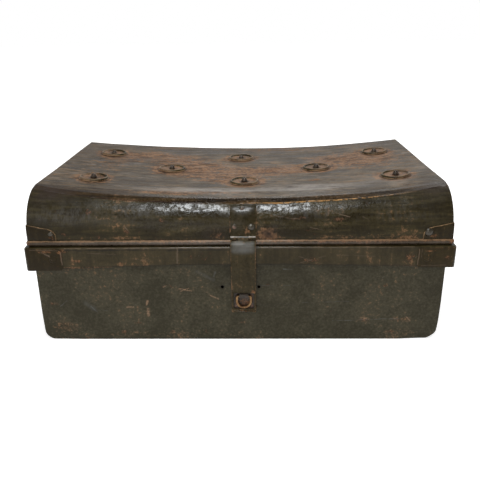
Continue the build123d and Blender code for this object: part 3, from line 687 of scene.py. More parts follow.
LID_SCARS = [
    ((148, -193, 212), (170, -198, 207), 1.4, 0.8), ((109, -204, 193), (132, -206, 188), 1.0, 0.5),
    ((270, -196, 214), (290, -203, 196), 1.2, 0.5), ((190, -199, 207), (240, -206, 186), 1.2, 0.35),
    ((-175, -203, 196), (-166, -206, 186), 1.6, 0.6), ((49, -193, 209), (94, -198, 204), 1.6, 0.4),
]
# Darker patches at the ends and the back of the top, and beside the hasp.
LID_DARK_PATCHES = [
    ((-292, -168, 243), (62, 55, 24), 0.85), ((300, -160, 243), (50, 60, 22), 0.55),
    ((-36, -207, 184), (26, 20, 15), 0.75), ((48, -207, 184), (30, 20, 17), 0.8),
    ((-300, 120, 248), (60, 120, 20), 0.35), ((-200, -150, 238), (90, 22, 14), 0.6),
    ((0, 185, 240), (330, 50, 20), 0.45), ((-230, 60, 242), (90, 70, 20), 0.3),
]
# Painted reflection: a grey veil on the brow, mostly at its ends.
LID_PAINTED_SOFT_SHEEN = [
    ((-262, -196, 212), (90, 40, 24), 0.34), ((-150, -192, 216), (70, 36, 14), 0.5),
    ((250, -196, 212), (80, 40, 22), 0.2), ((120, -194, 214), (60, 36, 13), 0.4),
]
# Painted reflection: pale colour laid on the top near the crease, in place of the light the top
# mirrors there.
LID_PAINTED_SHEEN = [
    ((-60, -134, 233), (150, 24, 16), 0.75), ((110, -128, 235), (150, 30, 16), 0.75),
    ((250, -110, 240), (60, 60, 16), 0.3),
]


def make_lid_paint():
    """Top of the lid: brown paint, dusty rust, painted reflections, and at the crease bright chips and
    a dark strip that is partly painted reflection.
    """
    paint = colours()
    made, surface, place = new_material("Lid sheet paint")
    axes = axis_values(place)
    way = attribute(place.id_data, "crease_way")
    button = attribute(place.id_data, "roundel_way")

    ragged = cloud_noise(place, 45.0, 4.0, 0.65)
    on_top = (way + (ragged - 0.5) * 0.022).rise(15 * MM, 22 * MM)
    # The strip just above the crease is painted dark: partly painted reflection of the dark that the
    # sheet mirrors as it turns down.
    strip = way.rise(-1.5 * MM, 0.5 * MM) * (1.0 - on_top)
    dark = on_top.mix(paint.gloss_olive, paint.brown)
    light = on_top.mix(paint.gloss_olive_light, paint.grey)
    tones = strip.mix(dark, (0.008, 0.004, 0.001)), strip.mix(light, (0.042, 0.023, 0.006))

    near_bead = axes["Z"].line(SHELF + 13 * MM, 7 * MM, 0.16)
    near_end = abs(axes["X"]).line(HALF, 4 * MM, 0.3)
    bloom = total([total(spots(place, LID_BLOOMS)), button.line(27 * MM, 17 * MM, 0.5), near_bead])
    cover = total([0.1] + spots(place, LID_CHIPS) + [near_end, near_bead * 0.6])

    glossy = spot(place, (0, -195, 212), (360, 90, 60))
    gloss = 0.36 - glossy * 0.2 - on_top * 0.02
    pitted = glossy * cloud_noise(place, 230.0, 3.0, 0.6)
    speckle = cloud_noise(place, 170.0, 4.0, 0.65).rise(0.44, 0.58, 0.66)
    coat = glossy * speckle * way.line(-9 * MM, 24 * MM) * way.fall(-2 * MM, 1 * MM)

    veil = cloud_noise(stretched(place, 0.4, 1, 1), 78.0, 5.0, 0.72)
    brushed = cloud_noise(stretched(place, 1, 0.4, 0.4), 190.0, 4.0, 0.7)
    wrinkle = cloud_noise(stretched(place, 0.22, 1, 1), 130.0, 3.0, 0.6)
    streaks = veil.fall(0.38, 0.52) * on_top * 0.7
    chalk = veil.rise(0.53, 0.68) * on_top * 0.5
    # Pale painted reflection on the top, near the crease.
    painted_sheen = total(spots(place, LID_PAINTED_SHEEN)) * on_top * veil.rise(0.3, 0.6)
    # Grey painted reflection on the brow.
    painted_soft_sheen = total(spots(place, LID_PAINTED_SOFT_SHEEN)) * brushed.rise(0.38, 0.62)
    darkening = total(spots(place, LID_DARK_PATCHES)) * ragged.rise(0.25, 0.6)
    crack = way.line(1.2 * MM, 1.6 * MM) * spot(place, (-130, -178, 226), (140, 60, 80), 0.9)
    wrinkled = wrinkle.rise(0.55, 0.62) * total(spots(place, LID_WRINKLES)) * 0.75
    ragged_edge = cloud_noise(place, 140.0, 5.0, 0.7).rise(0.40, 0.56)
    lip = way.line(0.4 * MM, 2.3 * MM) * ragged_edge
    marks = [
        (streaks, (0.026, 0.016, 0.009)),
        (chalk, (0.19, 0.145, 0.105)),
        (painted_sheen, (0.22, 0.195, 0.17)),
        (painted_soft_sheen, (0.085, 0.080, 0.074)),
        (darkening, (0.028, 0.018, 0.013)),
        (crack, (0.020, 0.006, 0.003)),
        (wrinkled, (0.030, 0.018, 0.010)),
        (button.line(25.5 * MM, 3.4 * MM, 0.6), (0.016, 0.010, 0.006)),
        (strokes(place, LID_SCARS), DULL_SCRATCH_AND_HIGHLIGHT),
        (lip * spot(place, (130, -175, 225), (170, 60, 80)), (0.44, 0.23, 0.075)),
    ]
    worn_paint(surface, place, tones, cover, bloom, gloss, shine=0.17, marks=marks,
               chip_size=8 * MM, size=70 * MM, stretch=(0.10, 1.0, 1.0), grain_bump=0.13 * MM,
               uneven_share=(0.3, 0.25, 0.55), streak_rough=on_top * 0.24,
               streak_bump=on_top * (0.28 * MM), coat=coat, extra_height=pitted * (0.8 * MM),
               fresh_tone=on_top.mix((0.15, 0.078, 0.042), paint.rust_bright))
    return made


def make_sheet_paint(name, tones, cover_spots=(), lines=(), bloom_spots=(), cover=0.12, bloom=0.0,
                     scratches_and_highlights=(), scratch_and_highlight_colour=DULL_SCRATCH_AND_HIGHLIGHT, painted_shade_lines=(), bare_scratches=(),
                     coat_spots=(), **finish):
    """Paint of a plain sheet, with rust in spots and along straight lines, varnished in spots.

    A line is (axis, place on it, width, strength); absX is the same line at both ends.
    """
    made, surface, place = new_material(name)
    axes = axis_values(place)
    edges = []
    for axis, *line in lines:
        value = abs(axes["X"]) if axis == "absX" else axes[axis]
        edges.append(value.line(*line))
    chipped = spots(place, cover_spots)
    covers = [cover] + [edge * 0.6 for edge in edges] + chipped
    blooms = [bloom] + edges + spots(place, bloom_spots) + [chips * 0.5 for chips in chipped]
    marks = []
    # Near-black lines painted as shade: in gaps, under edges and in the lock holes.
    if painted_shade_lines:
        marks.append((strokes(place, painted_shade_lines), (0.006, 0.004, 0.002)))
    # Lines in one light colour: scratches, and on the band, the hasp plate and the strap, painted
    # highlights.
    if scratches_and_highlights:
        marks.append((strokes(place, scratches_and_highlights), scratch_and_highlight_colour))
    if bare_scratches:
        ragged = cloud_noise(place, 420.0, 3.0, 0.6).rise(0.36, 0.56)
        marks.append((strokes(place, bare_scratches) * ragged, (0.31, 0.19, 0.115)))
    coat = total(spots(place, coat_spots)) if coat_spots else None
    worn_paint(surface, place, tones, total(covers), total(blooms), marks=marks, coat=coat,
               **finish)
    return made


def make_roundel_paint():
    """Dish with a dusty floor, painted shadow round its stud, and a rim with painted shade in front
    and painted light behind.
    """
    made, surface, place = new_material("Roundel paint")
    reach = attribute(place.id_data, "from_middle")
    front_shade = attribute(place.id_data, "towards_front").rise(-0.25, 0.45)
    floor = reach.fall(18.5 * MM, 20.5 * MM)
    crest = reach.line(22.3 * MM, 1.5 * MM, 0.9)
    foot = reach.rise(24.0 * MM, 24.8 * MM)
    patchy = cloud_noise(place, 90.0, 4.0, 0.6).rise(0.4, 0.58)
    # Painted shadow round the stud.
    darkening = reach.fall(6 * MM, 12 * MM) * patchy.rise(0.1, 0.9, 0.9)
    # The rim's colours go from painted light behind to painted shade in front.
    rim_dark = front_shade.mix((0.055, 0.034, 0.018), (0.014, 0.010, 0.003))
    rim_light = front_shade.mix((0.13, 0.085, 0.052), (0.034, 0.027, 0.009))
    tones = floor.mix(rim_dark, (0.035, 0.020, 0.010)), floor.mix(rim_light, (0.20, 0.125, 0.072))
    marks = [(darkening, (0.020, 0.012, 0.007)), (crest * patchy, (0.19, 0.135, 0.07)),
             (foot * patchy, (0.26, 0.165, 0.09))]
    worn_paint(surface, place, tones, total([0.2, crest * 0.22, foot * 0.3]),
               total([foot * 0.5, floor * 0.38]), 0.36, shine=0.12, marks=marks,
               chip_size=6 * MM, size=26 * MM)
    return made


def make_metal(name, colour, tarnish, rough, rust_cover=0.3, metallic=1.0, tint_spots=(),
               tint_spot_colour=(0.012, 0.008, 0.005)):
    """Worn metal: a base colour under patchy tarnish, a second colour in spots and specks of rust."""
    made, surface, place = new_material(name)
    mottle = use_group(place.id_data, "Mottle", Vector=place, Size=7 * MM)
    rust = use_group(place.id_data, "Chips", Vector=place, Size=4 * MM, Cover=rust_cover)["Mask"]
    grain = mottle["Grain"]
    shade = mottle["Cloud"].mix(colour, tarnish)
    shade = (grain * 0.4).mix(shade, tarnish)
    shade = rust.mix(shade, colours().rust_dark)
    if tint_spots:
        shade = total(spots(place, tint_spots)).mix(shade, tint_spot_colour)
    feed(surface.inputs["Base Color"], shade)
    feed(surface.inputs["Roughness"], grain * 0.18 + rough)
    feed(surface.inputs["Metallic"], (1.0 - rust) * metallic)
    bumped(surface, grain * (0.04 * MM))
    return made


def paint_tones(name):
    """The dark and the light tone of one paint."""
    return getattr(colours(), name), getattr(colours(), name + "_light")


MATERIAL_MAKERS = {
    "lid": make_lid_paint,
    "lid_end": lambda: make_sheet_paint(
        "Lid end paint", paint_tones("gloss_olive"),
        cover_spots=[((-325, -40, 200), (8, 60, 26), 0.27), ((325, 60, 190), (8, 70, 22), 0.27),
                     ((325, -120, 200), (8, 40, 40), 0.2), ((-325, 120, 190), (8, 50, 30), 0.2)],
        bloom_spots=[((-325, 0, 182), (10, 240, 14), 0.2), ((325, 0, 182), (10, 240, 14), 0.2)],
        fresh_tone=FRESH_BROWN, cover=0.1, gloss=0.34, shine=0.2, dents=0.4 * MM,
        chip_size=5 * MM, scuffs=0.5,
    ),
    "tub": lambda: make_sheet_paint(
        "Tub paint", paint_tones("olive"),
        cover_spots=spots_at(-204, 20, [
            (-290, 22, 34, 18, 0.24), (-300, 66, 14, 8, 0.38), (-165, 30, 10, 3, 0.44),
            (-110, 96, 6, 4, 0.42), (-190, 14, 8, 6, 0.44), (-110, 14, 6, 6, 0.46),
            (-55, 14, 6, 8, 0.40), (-150, 10, 130, 8, 0.16), (5, 31, 10, 4, 0.36),
            (46, 97, 8, 4, 0.42), (231, 96, 7, 5, 0.46), (200, 34, 16, 5, 0.42),
            (262, 36, 30, 6, 0.34), (245, 14, 12, 4, 0.42),
        ]) + [((322, 60, 40), (6, 70, 40), 0.18), ((-322, -60, 40), (6, 80, 40), 0.18),
              ((60, 204, 50), (160, 10, 40), 0.2)],
        bloom_spots=spots_at(-204, 20, [
            (-290, 16, 54, 34, 0.16), (-60, 8, 270, 16, 0.1), (260, 10, 70, 16, 0.12),
        ]) + [((322, 0, 6), (10, 220, 18), 0.2), ((-322, 0, 6), (10, 220, 18), 0.2)],
        bare_scratches=strokes_at(-204.5, [
            (-96, 91, -76, 87, 1.9, 0.95), (-94, 86, -80, 92, 1.4, 0.7),
            (-147, 69, -149, 63, 3.4, 0.9), (-147, 55, -148, 44, 4.2, 0.9),
            (-182, 58, -171, 58.5, 1.9, 0.8), (-46, 79, -33, 73, 2.0, 0.8),
            (-120, 94, -116, 97, 2.0, 0.7), (196, 38, 208, 37, 2.6, 0.9), (268, 39, 274, 33, 2.2, 0.8),
        ]),
        lines=[("Z", 0.0, 1.8 * MM, 0.3), ("absX", tub_high.x, 3 * MM, 0.05)],
        scratches_and_highlights=strokes_at(-204, [
            (-37, 119, -40, 113, 2.6, 0.45), (69, 124, 84, 124, 1.3, 0.8),
            (-248, 66, -236, 56, 7.0, 0.22), (-240, 60, -231, 50, 1.6, 0.5),
            (150, 33, 255, 37, 1.3, 0.5), (-232, 54, -214, 52, 1.2, 0.4),
            (-90, 104, -60, 112, 1.0, 0.2), (100, 66, 175, 68, 1.0, 0.3),
            (-290, 60, -278, 70, 1.0, 0.5), (-66, 120, -40, 106, 5.0, 0.2),
            (30, 96, 110, 97, 1.0, 0.25),
        ]),
        scratch_and_highlight_colour=(0.13, 0.13, 0.125),
        # Painted shade: dark discs at the lock holes and a dark line along the foot.
        painted_shade_lines=[((x - 0.1, -204.5, LOCK_HOLE_Z), (x + 0.1, -204.5, LOCK_HOLE_Z), 5.2, 1.0)
                 for x in LOCK_HOLES_X]
        + [((x, -204.5, 3), (x + 90, -204.5, 3), 2.4, 0.4) for x in (-300, -190, -80, 40)],
        fresh_tone=FRESH_BROWN,
        cover=0.05, gloss=0.36, shine=0.16, dents=0.25 * MM, chip_size=4 * MM, scuffs=0.5,
        stretch=(0.8, 1.0, 1.0), size=46 * MM, uneven_share=(0.45, 0.4, 0.3),
    ),
    "band": lambda: make_sheet_paint(
        "Band paint", paint_tones("band_olive"),
        cover_spots=spots_at(-214, 12, [
            (-251, 143, 14, 4, 0.5), (-182, 138, 8, 5, 0.5), (110, 143, 26, 9, 0.36),
            (262, 146, 12, 14, 0.46), (-60, 150, 40, 10, 0.2), (-272, 159, 12, 7, 0.5),
        ]),
        lines=[("Z", band_low.z, 2.2 * MM, 0.32)],
        # The two lines along the top edge are a painted highlight; the others are scratches.
        scratches_and_highlights=strokes_at(-214.5, [
            (-268, 164.2, -16, 164.2, 1.2, 0.75), (30, 164.2, 268, 164.2, 1.1, 0.6),
        ]) + strokes_at(-214, [
            (-94, 163, -95, 139, 2.2, 0.45), (90, 137, 133, 150, 0.9, 0.5),
            (93, 149, 128, 138, 0.9, 0.45), (-232, 156, -190, 154, 1.2, 0.35),
            (150, 152, 210, 149, 1.0, 0.25), (-170, 147, -120, 141, 0.9, 0.25),
        ]),
        coat_spots=[((0, band_low.y / MM, band_high.z / MM), (340, 4, 3.2), 1.0)],
        # Painted shade under the bead and along the band's lower edge.
        painted_shade_lines=strokes_at(-214.5, [
            (-268, 160.4, -16, 160.6, 1.7, 0.85), (-330, 129.6, -90, 136.6, 1.6, 0.6),
            (-90, 136.6, 50, 136.6, 1.6, 0.6), (50, 136.6, 330, 132.8, 1.6, 0.6),
        ]),
        cover=0.12, gloss=0.28, shine=0.17, chip_size=5 * MM, scuffs=0.42,
    ),
    "bead": lambda: make_sheet_paint(
        "Bead paint", ((0.040, 0.026, 0.014), (0.085, 0.062, 0.043)),
        cover_spots=[((190, -212, 172), (200, 14, 4), 0.3), ((-60, -212, 172), (160, 14, 3), 0.16),
                     ((330, -212, 171), (18, 18, 10), 0.5), ((-330, -212, 171), (18, 18, 10), 0.5)],
        scratches_and_highlights=[((-326, -210, 174.0), (326, -210, 174.0), 1.7, 0.9)],
        scratch_and_highlight_colour=(0.21, 0.13, 0.065),
        lines=[("Z", BEAD_TOP - 0.9 * MM, 2.1 * MM, 0.45)],
        coat_spots=[((0, bead_low.y / MM, BEAD_TOP / MM - 3), (340, 6, 4), 0.5)],
        cover=0.16, gloss=0.26, shine=0.25, chip_size=4 * MM,
    ),
    "patch": lambda: make_sheet_paint(
        "Patch paint", ((0.020, 0.013, 0.004), (0.037, 0.026, 0.010)),
        cover_spots=spots_at(-215, 12, [
            (-300, 159, 22, 3.5, 0.46), (-277, 158, 6, 5, 0.62), (-274.5, 150, 2.5, 12, 0.5),
            (319, 147, 9, 6, 0.42), (292, 158, 9, 2.5, 0.5),
        ]),
        scratches_and_highlights=strokes_at(-215.5, [
            (-305, 158, -293, 152, 1.6, 0.7), (-293, 152, -288, 145, 1.3, 0.5),
            (-274.3, 158, -273.8, 137, 1.7, 0.75), (-322, 161.5, -276, 161.5, 1.2, 0.5),
            (274.6, 161, 274.6, 136, 1.5, 0.6), (279, 161, 279, 148, 1.0, 0.35),
            (281, 134.0, 318, 134.5, 1.2, 0.3),
        ]),
        lines=[("Z", band_high.z - 1.5 * MM, 1.6 * MM, 0.45)],
        cover=0.14, gloss=0.34, shine=0.12, chip_size=4 * MM,
    ),
    "bracket": lambda: make_sheet_paint(
        "Bracket paint", ((0.016, 0.010, 0.003), (0.032, 0.023, 0.008)),
        cover_spots=[((296, -208, 180), (16, 14, 5), 0.38), ((-289, -208, 181), (8, 14, 7), 0.44)],
        scratches_and_highlights=bracket_rims(), scratch_and_highlight_colour=(0.25, 0.155, 0.08),
        cover=0.12, gloss=0.32, shine=0.13, chip_size=4 * MM,
    ),
    "plate": lambda: make_sheet_paint(
        "Hasp plate paint", ((0.018, 0.013, 0.004), (0.038, 0.029, 0.013)),
        bloom_spots=[((14, -206, 190), (7, 9, 9), 0.3)],
        cover_spots=[((12, -211, 187.5), (18, 8, 2), 0.52), ((-12, -207, 190), (3, 8, 5), 0.5)],
        # A painted highlight along the top of the knuckle.
        scratches_and_highlights=[((-11, -215, 182.2), (26, -215, 182.2), 2.2, 0.95)], scratch_and_highlight_colour=(0.42, 0.38, 0.34),
        lines=[("X", plate_high.x, 1.8 * MM, 0.3), ("X", plate_low.x, 1.8 * MM, 0.3)],
        coat_spots=[((HASP_MM, -200, 214), (26, 26, 12), 0.8)],
        cover=0.12, gloss=0.24, shine=0.12, chip_size=4 * MM,
    ),
    "strap": lambda: make_sheet_paint(
        "Hasp strap paint", paint_tones("band_olive"),
        bloom_spots=[((22, -208, 86), (5, 8, 5), 0.9)],
        cover_spots=[((HASP_MM, -208, 54), (24, 8, 3), 0.34), ((23, -208, 88), (4, 8, 4), 0.5)],
        # Painted highlights: along the knuckle, across the strap's bulge and down its left edge.
        scratches_and_highlights=[((-11, -215, 182.2), (26, -215, 182.2), 2.2, 0.95),
               ((-6, -216, 170.5), (21, -216, 170.5), 7.0, 0.75),
               ((-6, -216, 162), (21, -216, 162), 9.0, 0.4),
               ((-10.8, -213, 168), (-10.8, -210, 100), 1.2, 0.5)],
        scratch_and_highlight_colour=(0.165, 0.17, 0.165),
        # Painted shade under the knuckle and where the strap bends below the band.
        painted_shade_lines=[((-11, -214, 177), (26, -214, 177), 1.6, 0.95),
                 ((-11, -212, 137.5), (26, -212, 137.5), 1.6, 0.35)],
        lines=[("X", strap_high.x, 1.4 * MM, 0.3), ("X", strap_low.x, 1.4 * MM, 0.3)],
        coat_spots=[((HASP_MM, -216, 166), (26, 20, 15), 0.8)],
        cover=0.1, gloss=0.26, shine=0.13, chip_size=4 * MM,
    ),
    "staple": lambda: make_sheet_paint(
        "Staple plate paint", ((0.024, 0.017, 0.010), (0.055, 0.042, 0.034)),
        cover_spots=[((HASP_MM, -207, 66), (18, 8, 14), 0.45)], cover=0.2, gloss=0.36,
        shine=0.3, chip_size=4 * MM,
    ),
    "roundel": make_roundel_paint,
    "fitting": lambda: make_sheet_paint(
        "Fitting paint", paint_tones("fitting_olive"), cover=0.24, bloom=0.06, gloss=0.36, shine=0.25,
        chip_size=6 * MM,
    ),
    "ring": lambda: make_metal(
        "Tarnished brass", colours().brass, (0.13, 0.07, 0.035), 0.24, rust_cover=0.2,
        # Darker at the top of the ring, round the clip.
        tint_spots=[((HASP_MM, -208, 89), (24, 14, 13), 3.0)],
    ),
    "rivet": lambda: make_metal(
        "Painted rivet steel", colours().steel, (0.07, 0.05, 0.03), 0.34,
        rust_cover=0.42, metallic=0.6,
    ),
    "stud": lambda: make_metal(
        "Stud steel", (0.060, 0.042, 0.026), (0.018, 0.012, 0.007), 0.34, rust_cover=0.42,
        metallic=0.5,
    ),
    "dome": lambda: make_metal(
        "Dome rivet", (0.055, 0.045, 0.03), (0.03, 0.024, 0.014), 0.16, rust_cover=0.1,
        metallic=0.25,
    ),
    "plate_rivet": lambda: make_metal(
        "Plate rivet", (0.075, 0.065, 0.045), (0.03, 0.024, 0.014), 0.15, rust_cover=0.1,
        metallic=0.25,
        tint_spots=[((-8, -207, 190), (9, 9, 9), 1.3), ((HASP_MM, -200, 216), (9, 20, 9), 1.0)],
        tint_spot_colour=(0.16, 0.085, 0.06),
    ),
    "worn": lambda: make_metal(
        "Worn rivet", (0.13, 0.08, 0.06), (0.07, 0.04, 0.03), 0.35, rust_cover=0.2, metallic=0.6,
    ),
    "rod": lambda: make_metal(
        "Handle rod", colours().steel, (0.06, 0.045, 0.03), 0.36,
        rust_cover=0.45, metallic=0.85,
    ),
}
made_materials = {}


def material(name):
    """The finish of that name, made the first time it is asked for."""
    if not made_materials:
        for build in (build_chips_group, build_scratches_group, build_spot_group,
                      build_line_group, build_stroke_group, build_mottle_group):
            build()
    if name not in made_materials:
        made_materials[name] = MATERIAL_MAKERS[name]()
    return made_materials[name]


def dress(finish, *names):
    """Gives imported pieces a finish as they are."""
    for name in names:
        parts[name].data.materials.clear()
        parts[name].data.materials.append(material(finish))


def soften(node, body, finish, rounding=None):
    """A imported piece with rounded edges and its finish, in place of the plain one."""
    piece = softened_copy(node, rounding or settings()[0].edge_round)
    return finish_piece(piece, node + "_dressed", body, node, finish)


# ---- the lid's sheet ------------------------------------------------------------------------
def sag_radius(sheet):
    """Radius of the arc that the top hangs in, from end to end."""
    return (HALF**2 + sheet.crown_sag**2) / (2 * sheet.crown_sag)


def crown_height(x, sheet):
    """Height of the sagging top at x."""
    radius = sag_radius(sheet)
    return crown_high.z - sheet.crown_sag + radius - math.sqrt(radius**2 - x**2)


def back_rise(x, y, sheet):
    """How much the back of the top has lifted, most left of the middle."""
    left = bell(x, -150 * MM, 110 * MM)
    return sheet.back_lift * smooth_step(y, -60 * MM, 170 * MM) * (0.5 + 0.5 * left)


def crease_angle(x):
    """How far round the brow the crease lies: lower in the middle, higher at the ends."""
    lowest, climb, waver = 59, 14, 1.4
    return math.radians(
        lowest + climb * abs(x / HALF) ** 4 + waver * ripple(x, 0, 45 * MM, 3.1)
    )


FACET = math.radians(11)
STEEPEST_BREAK = math.radians(84)
CREASE_TO_WALL = 10 * MM
FAR = 1.0
# The stretches of the sheet from the front's foot to the back's foot, with their rows of points.
LID_STRETCHES = (("wall", 4), ("under", 34), ("over", 20), ("top", 78), ("heel", 7), ("back", 6))
LID_ROWS = [
    (stretch, (step + 1) / count) for stretch, count in LID_STRETCHES for step in range(count)
]


def lid_section(x, stretch, share, sheet):
    """Outer face at x: its point (y, z), the direction it faces and the way past the crease."""
    brow, heel = sheet.brow_radius, sheet.heel_radius
    top = crown_height(x, sheet)
    crease = crease_angle(x)
    if stretch == "wall":
        return -FRONT, SHELF + (top - brow - SHELF) * share, 0.0, -brow * crease - CREASE_TO_WALL
    if stretch in ("under", "over"):
        bend = crease * share if stretch == "under" else crease + (QUARTER - crease) * share
        y = brow - FRONT - brow * math.cos(bend)
        return y, top - brow + brow * math.sin(bend), bend, brow * (bend - crease)
    if stretch == "top":
        run = (2 * FRONT - brow - heel) * share
        return brow - FRONT + run, top, QUARTER, brow * (QUARTER - crease) + run
    if stretch == "heel":
        bend = QUARTER + QUARTER * share
        y = FRONT - heel - heel * math.cos(bend)
        return y, top - heel + heel * math.sin(bend), bend, FAR
    return FRONT, top - heel - (top - heel - SHELF) * share, math.pi, FAR


def flattened(radius, bend, begin, end):
    """How far a straight stretch from begin to end lies inside the round brow."""
    if not begin < bend < end:
        return 0.0
    middle, half = (begin + end) / 2, (end - begin) / 2
    return radius * (1 - math.cos(half) / math.cos(bend - middle))


def way_to_roundel(x, y):
    """The distance to the nearest roundel's middle, from above."""
    return min((Vector((x, y)) - centre).length for centre in ROUNDEL_CENTRES)


def lid_offset(x, y, z, bend, stretch, share, sheet):
    """How far the worn sheet stands out from its true form: none under plates and roundels."""
    behind_plate = y > -175 * MM
    plate_clear = 1.0 if behind_plate else smooth_step(abs(x - HASP_X), 21 * MM, 34 * MM)
    corner_clear = 1 - smooth_step(abs(x), HALF - 60 * MM, HALF - 42 * MM) * (z < SHELF + 42 * MM)
    away = way_to_roundel(x, y)
    roundel_clear = smooth_step(away, 24 * MM, 40 * MM)
    end_clear = smooth_step(HALF - abs(x), 0.5 * MM, 18 * MM)
    offset = 0.0
    if stretch == "over":
        crease = crease_angle(x)
        facet_end = min(crease + FACET, STEEPEST_BREAK)
        offset -= sheet.crease_depth * (
            flattened(sheet.brow_radius, bend, crease, facet_end)
            + flattened(sheet.brow_radius, bend, facet_end, QUARTER)
        )
        offset += 0.25 * MM * plate_clear * (1 - share) * ripple(x, y, 16 * MM, 8.3)
    if stretch == "under":
        ridge = bell(share, 1, 0.055)
        offset += 0.3 * MM * ridge * plate_clear
        soft = smooth_step(share, 0.15, 0.5) * plate_clear * corner_clear * end_clear
        offset += sheet.dent_height * soft * (
            ripple(x, z, 34 * MM, 1.7) + 0.55 * ripple(x, z, 15 * MM, 5.2)
            + 0.16 * ripple(x, z, 6.5 * MM, 9.4)
        )
        offset -= 0.5 * MM * bell(x, -60 * MM, 22 * MM) * bell(share, 0.87, 0.05)
    if stretch in ("over", "top", "heel"):
        soft = roundel_clear * end_clear
        offset += sheet.dent_height * soft * (
            1.3 * ripple(x, y, 120 * MM, 2.3) + 0.45 * ripple(x, y, 38 * MM, 7.9)
        )
        wrinkled = smooth_step(y, -165 * MM, -140 * MM) * (1 - smooth_step(y, -110 * MM, -60 * MM))
        offset += 0.22 * MM * soft * wrinkled * ripple(x / 4, y, 7 * MM, 5.9)
        offset -= 0.35 * MM * bell(away, 31 * MM, 6 * MM)
    if stretch in ("wall", "back"):
        offset += 0.3 * MM * plate_clear * corner_clear * ripple(x, z, 60 * MM, 4.4)
    at_cut_edge = HALF - abs(x) < 0.3 * MM
    return offset - 0.45 * MM * at_cut_edge


class TRUNK_OT_lid_sheet(bpy.types.Operator):
    """Form the lid's sheet: sagging top, creased brow and dents"""

    bl_idname = "trunk.lid_sheet"
    bl_label = "Lid Sheet"

    def execute(self, context):
        sheet = context.scene.trunk_sheet
        even, margin = 229, 0.7 * MM
        columns = [-HALF, margin - HALF]
        columns += [2 * HALF * step / even - HALF for step in range(1, even)]
        columns += [HALF - margin, HALF]
        rows = [("wall", 0.0)] + LID_ROWS
        ways = {}

        def place(column, row):
            x = columns[column]
            stretch, share = rows[row]
            y, z, bend, way = lid_section(x, stretch, share, sheet)
            offset = lid_offset(x, y, z, bend, stretch, share, sheet)
            lift = back_rise(x, y, sheet)
            if stretch == "back":
                lift *= (z - SHELF) / (crown_height(x, sheet) - SHELF)
            on_top = stretch in ("over", "top")
            ways[row, column] = way, way_to_roundel(x, y) if on_top else FAR
            return (x, y - offset * math.cos(bend), z + lift + offset * math.sin(bend))

        piece = formed_sheet(len(columns), len(rows), place)
        in_order = [ways[key] for key in sorted(ways)]
        store_values(piece, "crease_way", [way for way, _ in in_order])
        store_values(piece, "roundel_way", [away for _, away in in_order])
        merge_and_turn_out(piece)
        apply_modifier(piece, "SOLIDIFY", thickness=sheet.thickness, offset=-1.0)
        finish_piece(piece, "lid_sheet", "lid", "lid_crown", "lid", 24.0)
        dress("lid_end", "lid_end_left", "lid_end_right")
        return {"FINISHED"}


# ---- rings that go round the lid -------------------------------------------------------------
def rounded_loop(half_x, half_y, corner, spacing):
    """Points and outward directions round a rectangle with rounded corners, from above."""
    loop = []
    centres = ((half_x - corner, half_y - corner), (corner - half_x, half_y - corner),
               (corner - half_x, corner - half_y), (half_x - corner, corner - half_y))
    corner_steps = 6
    for index, centre in enumerate(centres):
        for step in range(corner_steps + 1):
            bend = QUARTER * (index + step / corner_steps)
            out = Vector((math.cos(bend), math.sin(bend)))
            loop.append((Vector(centre) + out * corner, out))
        following = centres[(index + 1) % 4]
        begin, end = Vector(centre) + out * corner, Vector(following) + out * corner
        steps = round((end - begin).length / spacing)
        loop += [(begin.lerp(end, step / steps), out) for step in range(1, steps)]
    return loop


def ring_round_lid(half_x, half_y, corner, profile, sway, spacing=5 * MM):
    """A strip with this (out, height) profile round a rounded rectangle; sway moves each point."""
    loop = rounded_loop(half_x, half_y, corner, spacing)

    def place(column, row):
        point, out = loop[column % len(loop)]
        reach, height = profile[row]
        move_out, move_up = sway(point, out, row)
        moved = point + out * (reach + move_out)
        return (moved.x, moved.y, height + move_up)

    piece = formed_sheet(len(loop) + 1, len(profile), place)
    merge_and_turn_out(piece)
    return piece


def front_sway(point, out, height_out, height_up, seed):
    """Small waves on the front and the ends, none at the corners, the hasp or the back."""
    if out.y > 0.5:
        return 0.0, 0.0
    clear = smooth_step(band_high.x - abs(point.x), 64 * MM, 90 * MM)
    if abs(out.x) > 0.5:
        clear = smooth_step(band_high.y - abs(point.y), 64 * MM, 90 * MM)
    wave = ripple(point.x, point.y, 70 * MM, seed)
    return height_out * clear * wave, height_up * clear * ripple(point.x, point.y, 46 * MM, seed + 3)


def hem_shift(x):
    """How far the band's lower edge has bent up in the middle and down at the left corner."""
    middle = 3.6 * MM
    if x < 0:
        return middle - 7.4 * MM * smooth_step(-x, 90 * MM, 325 * MM)
    return middle - 3.8 * MM * smooth_step(x, 50 * MM, 330 * MM)


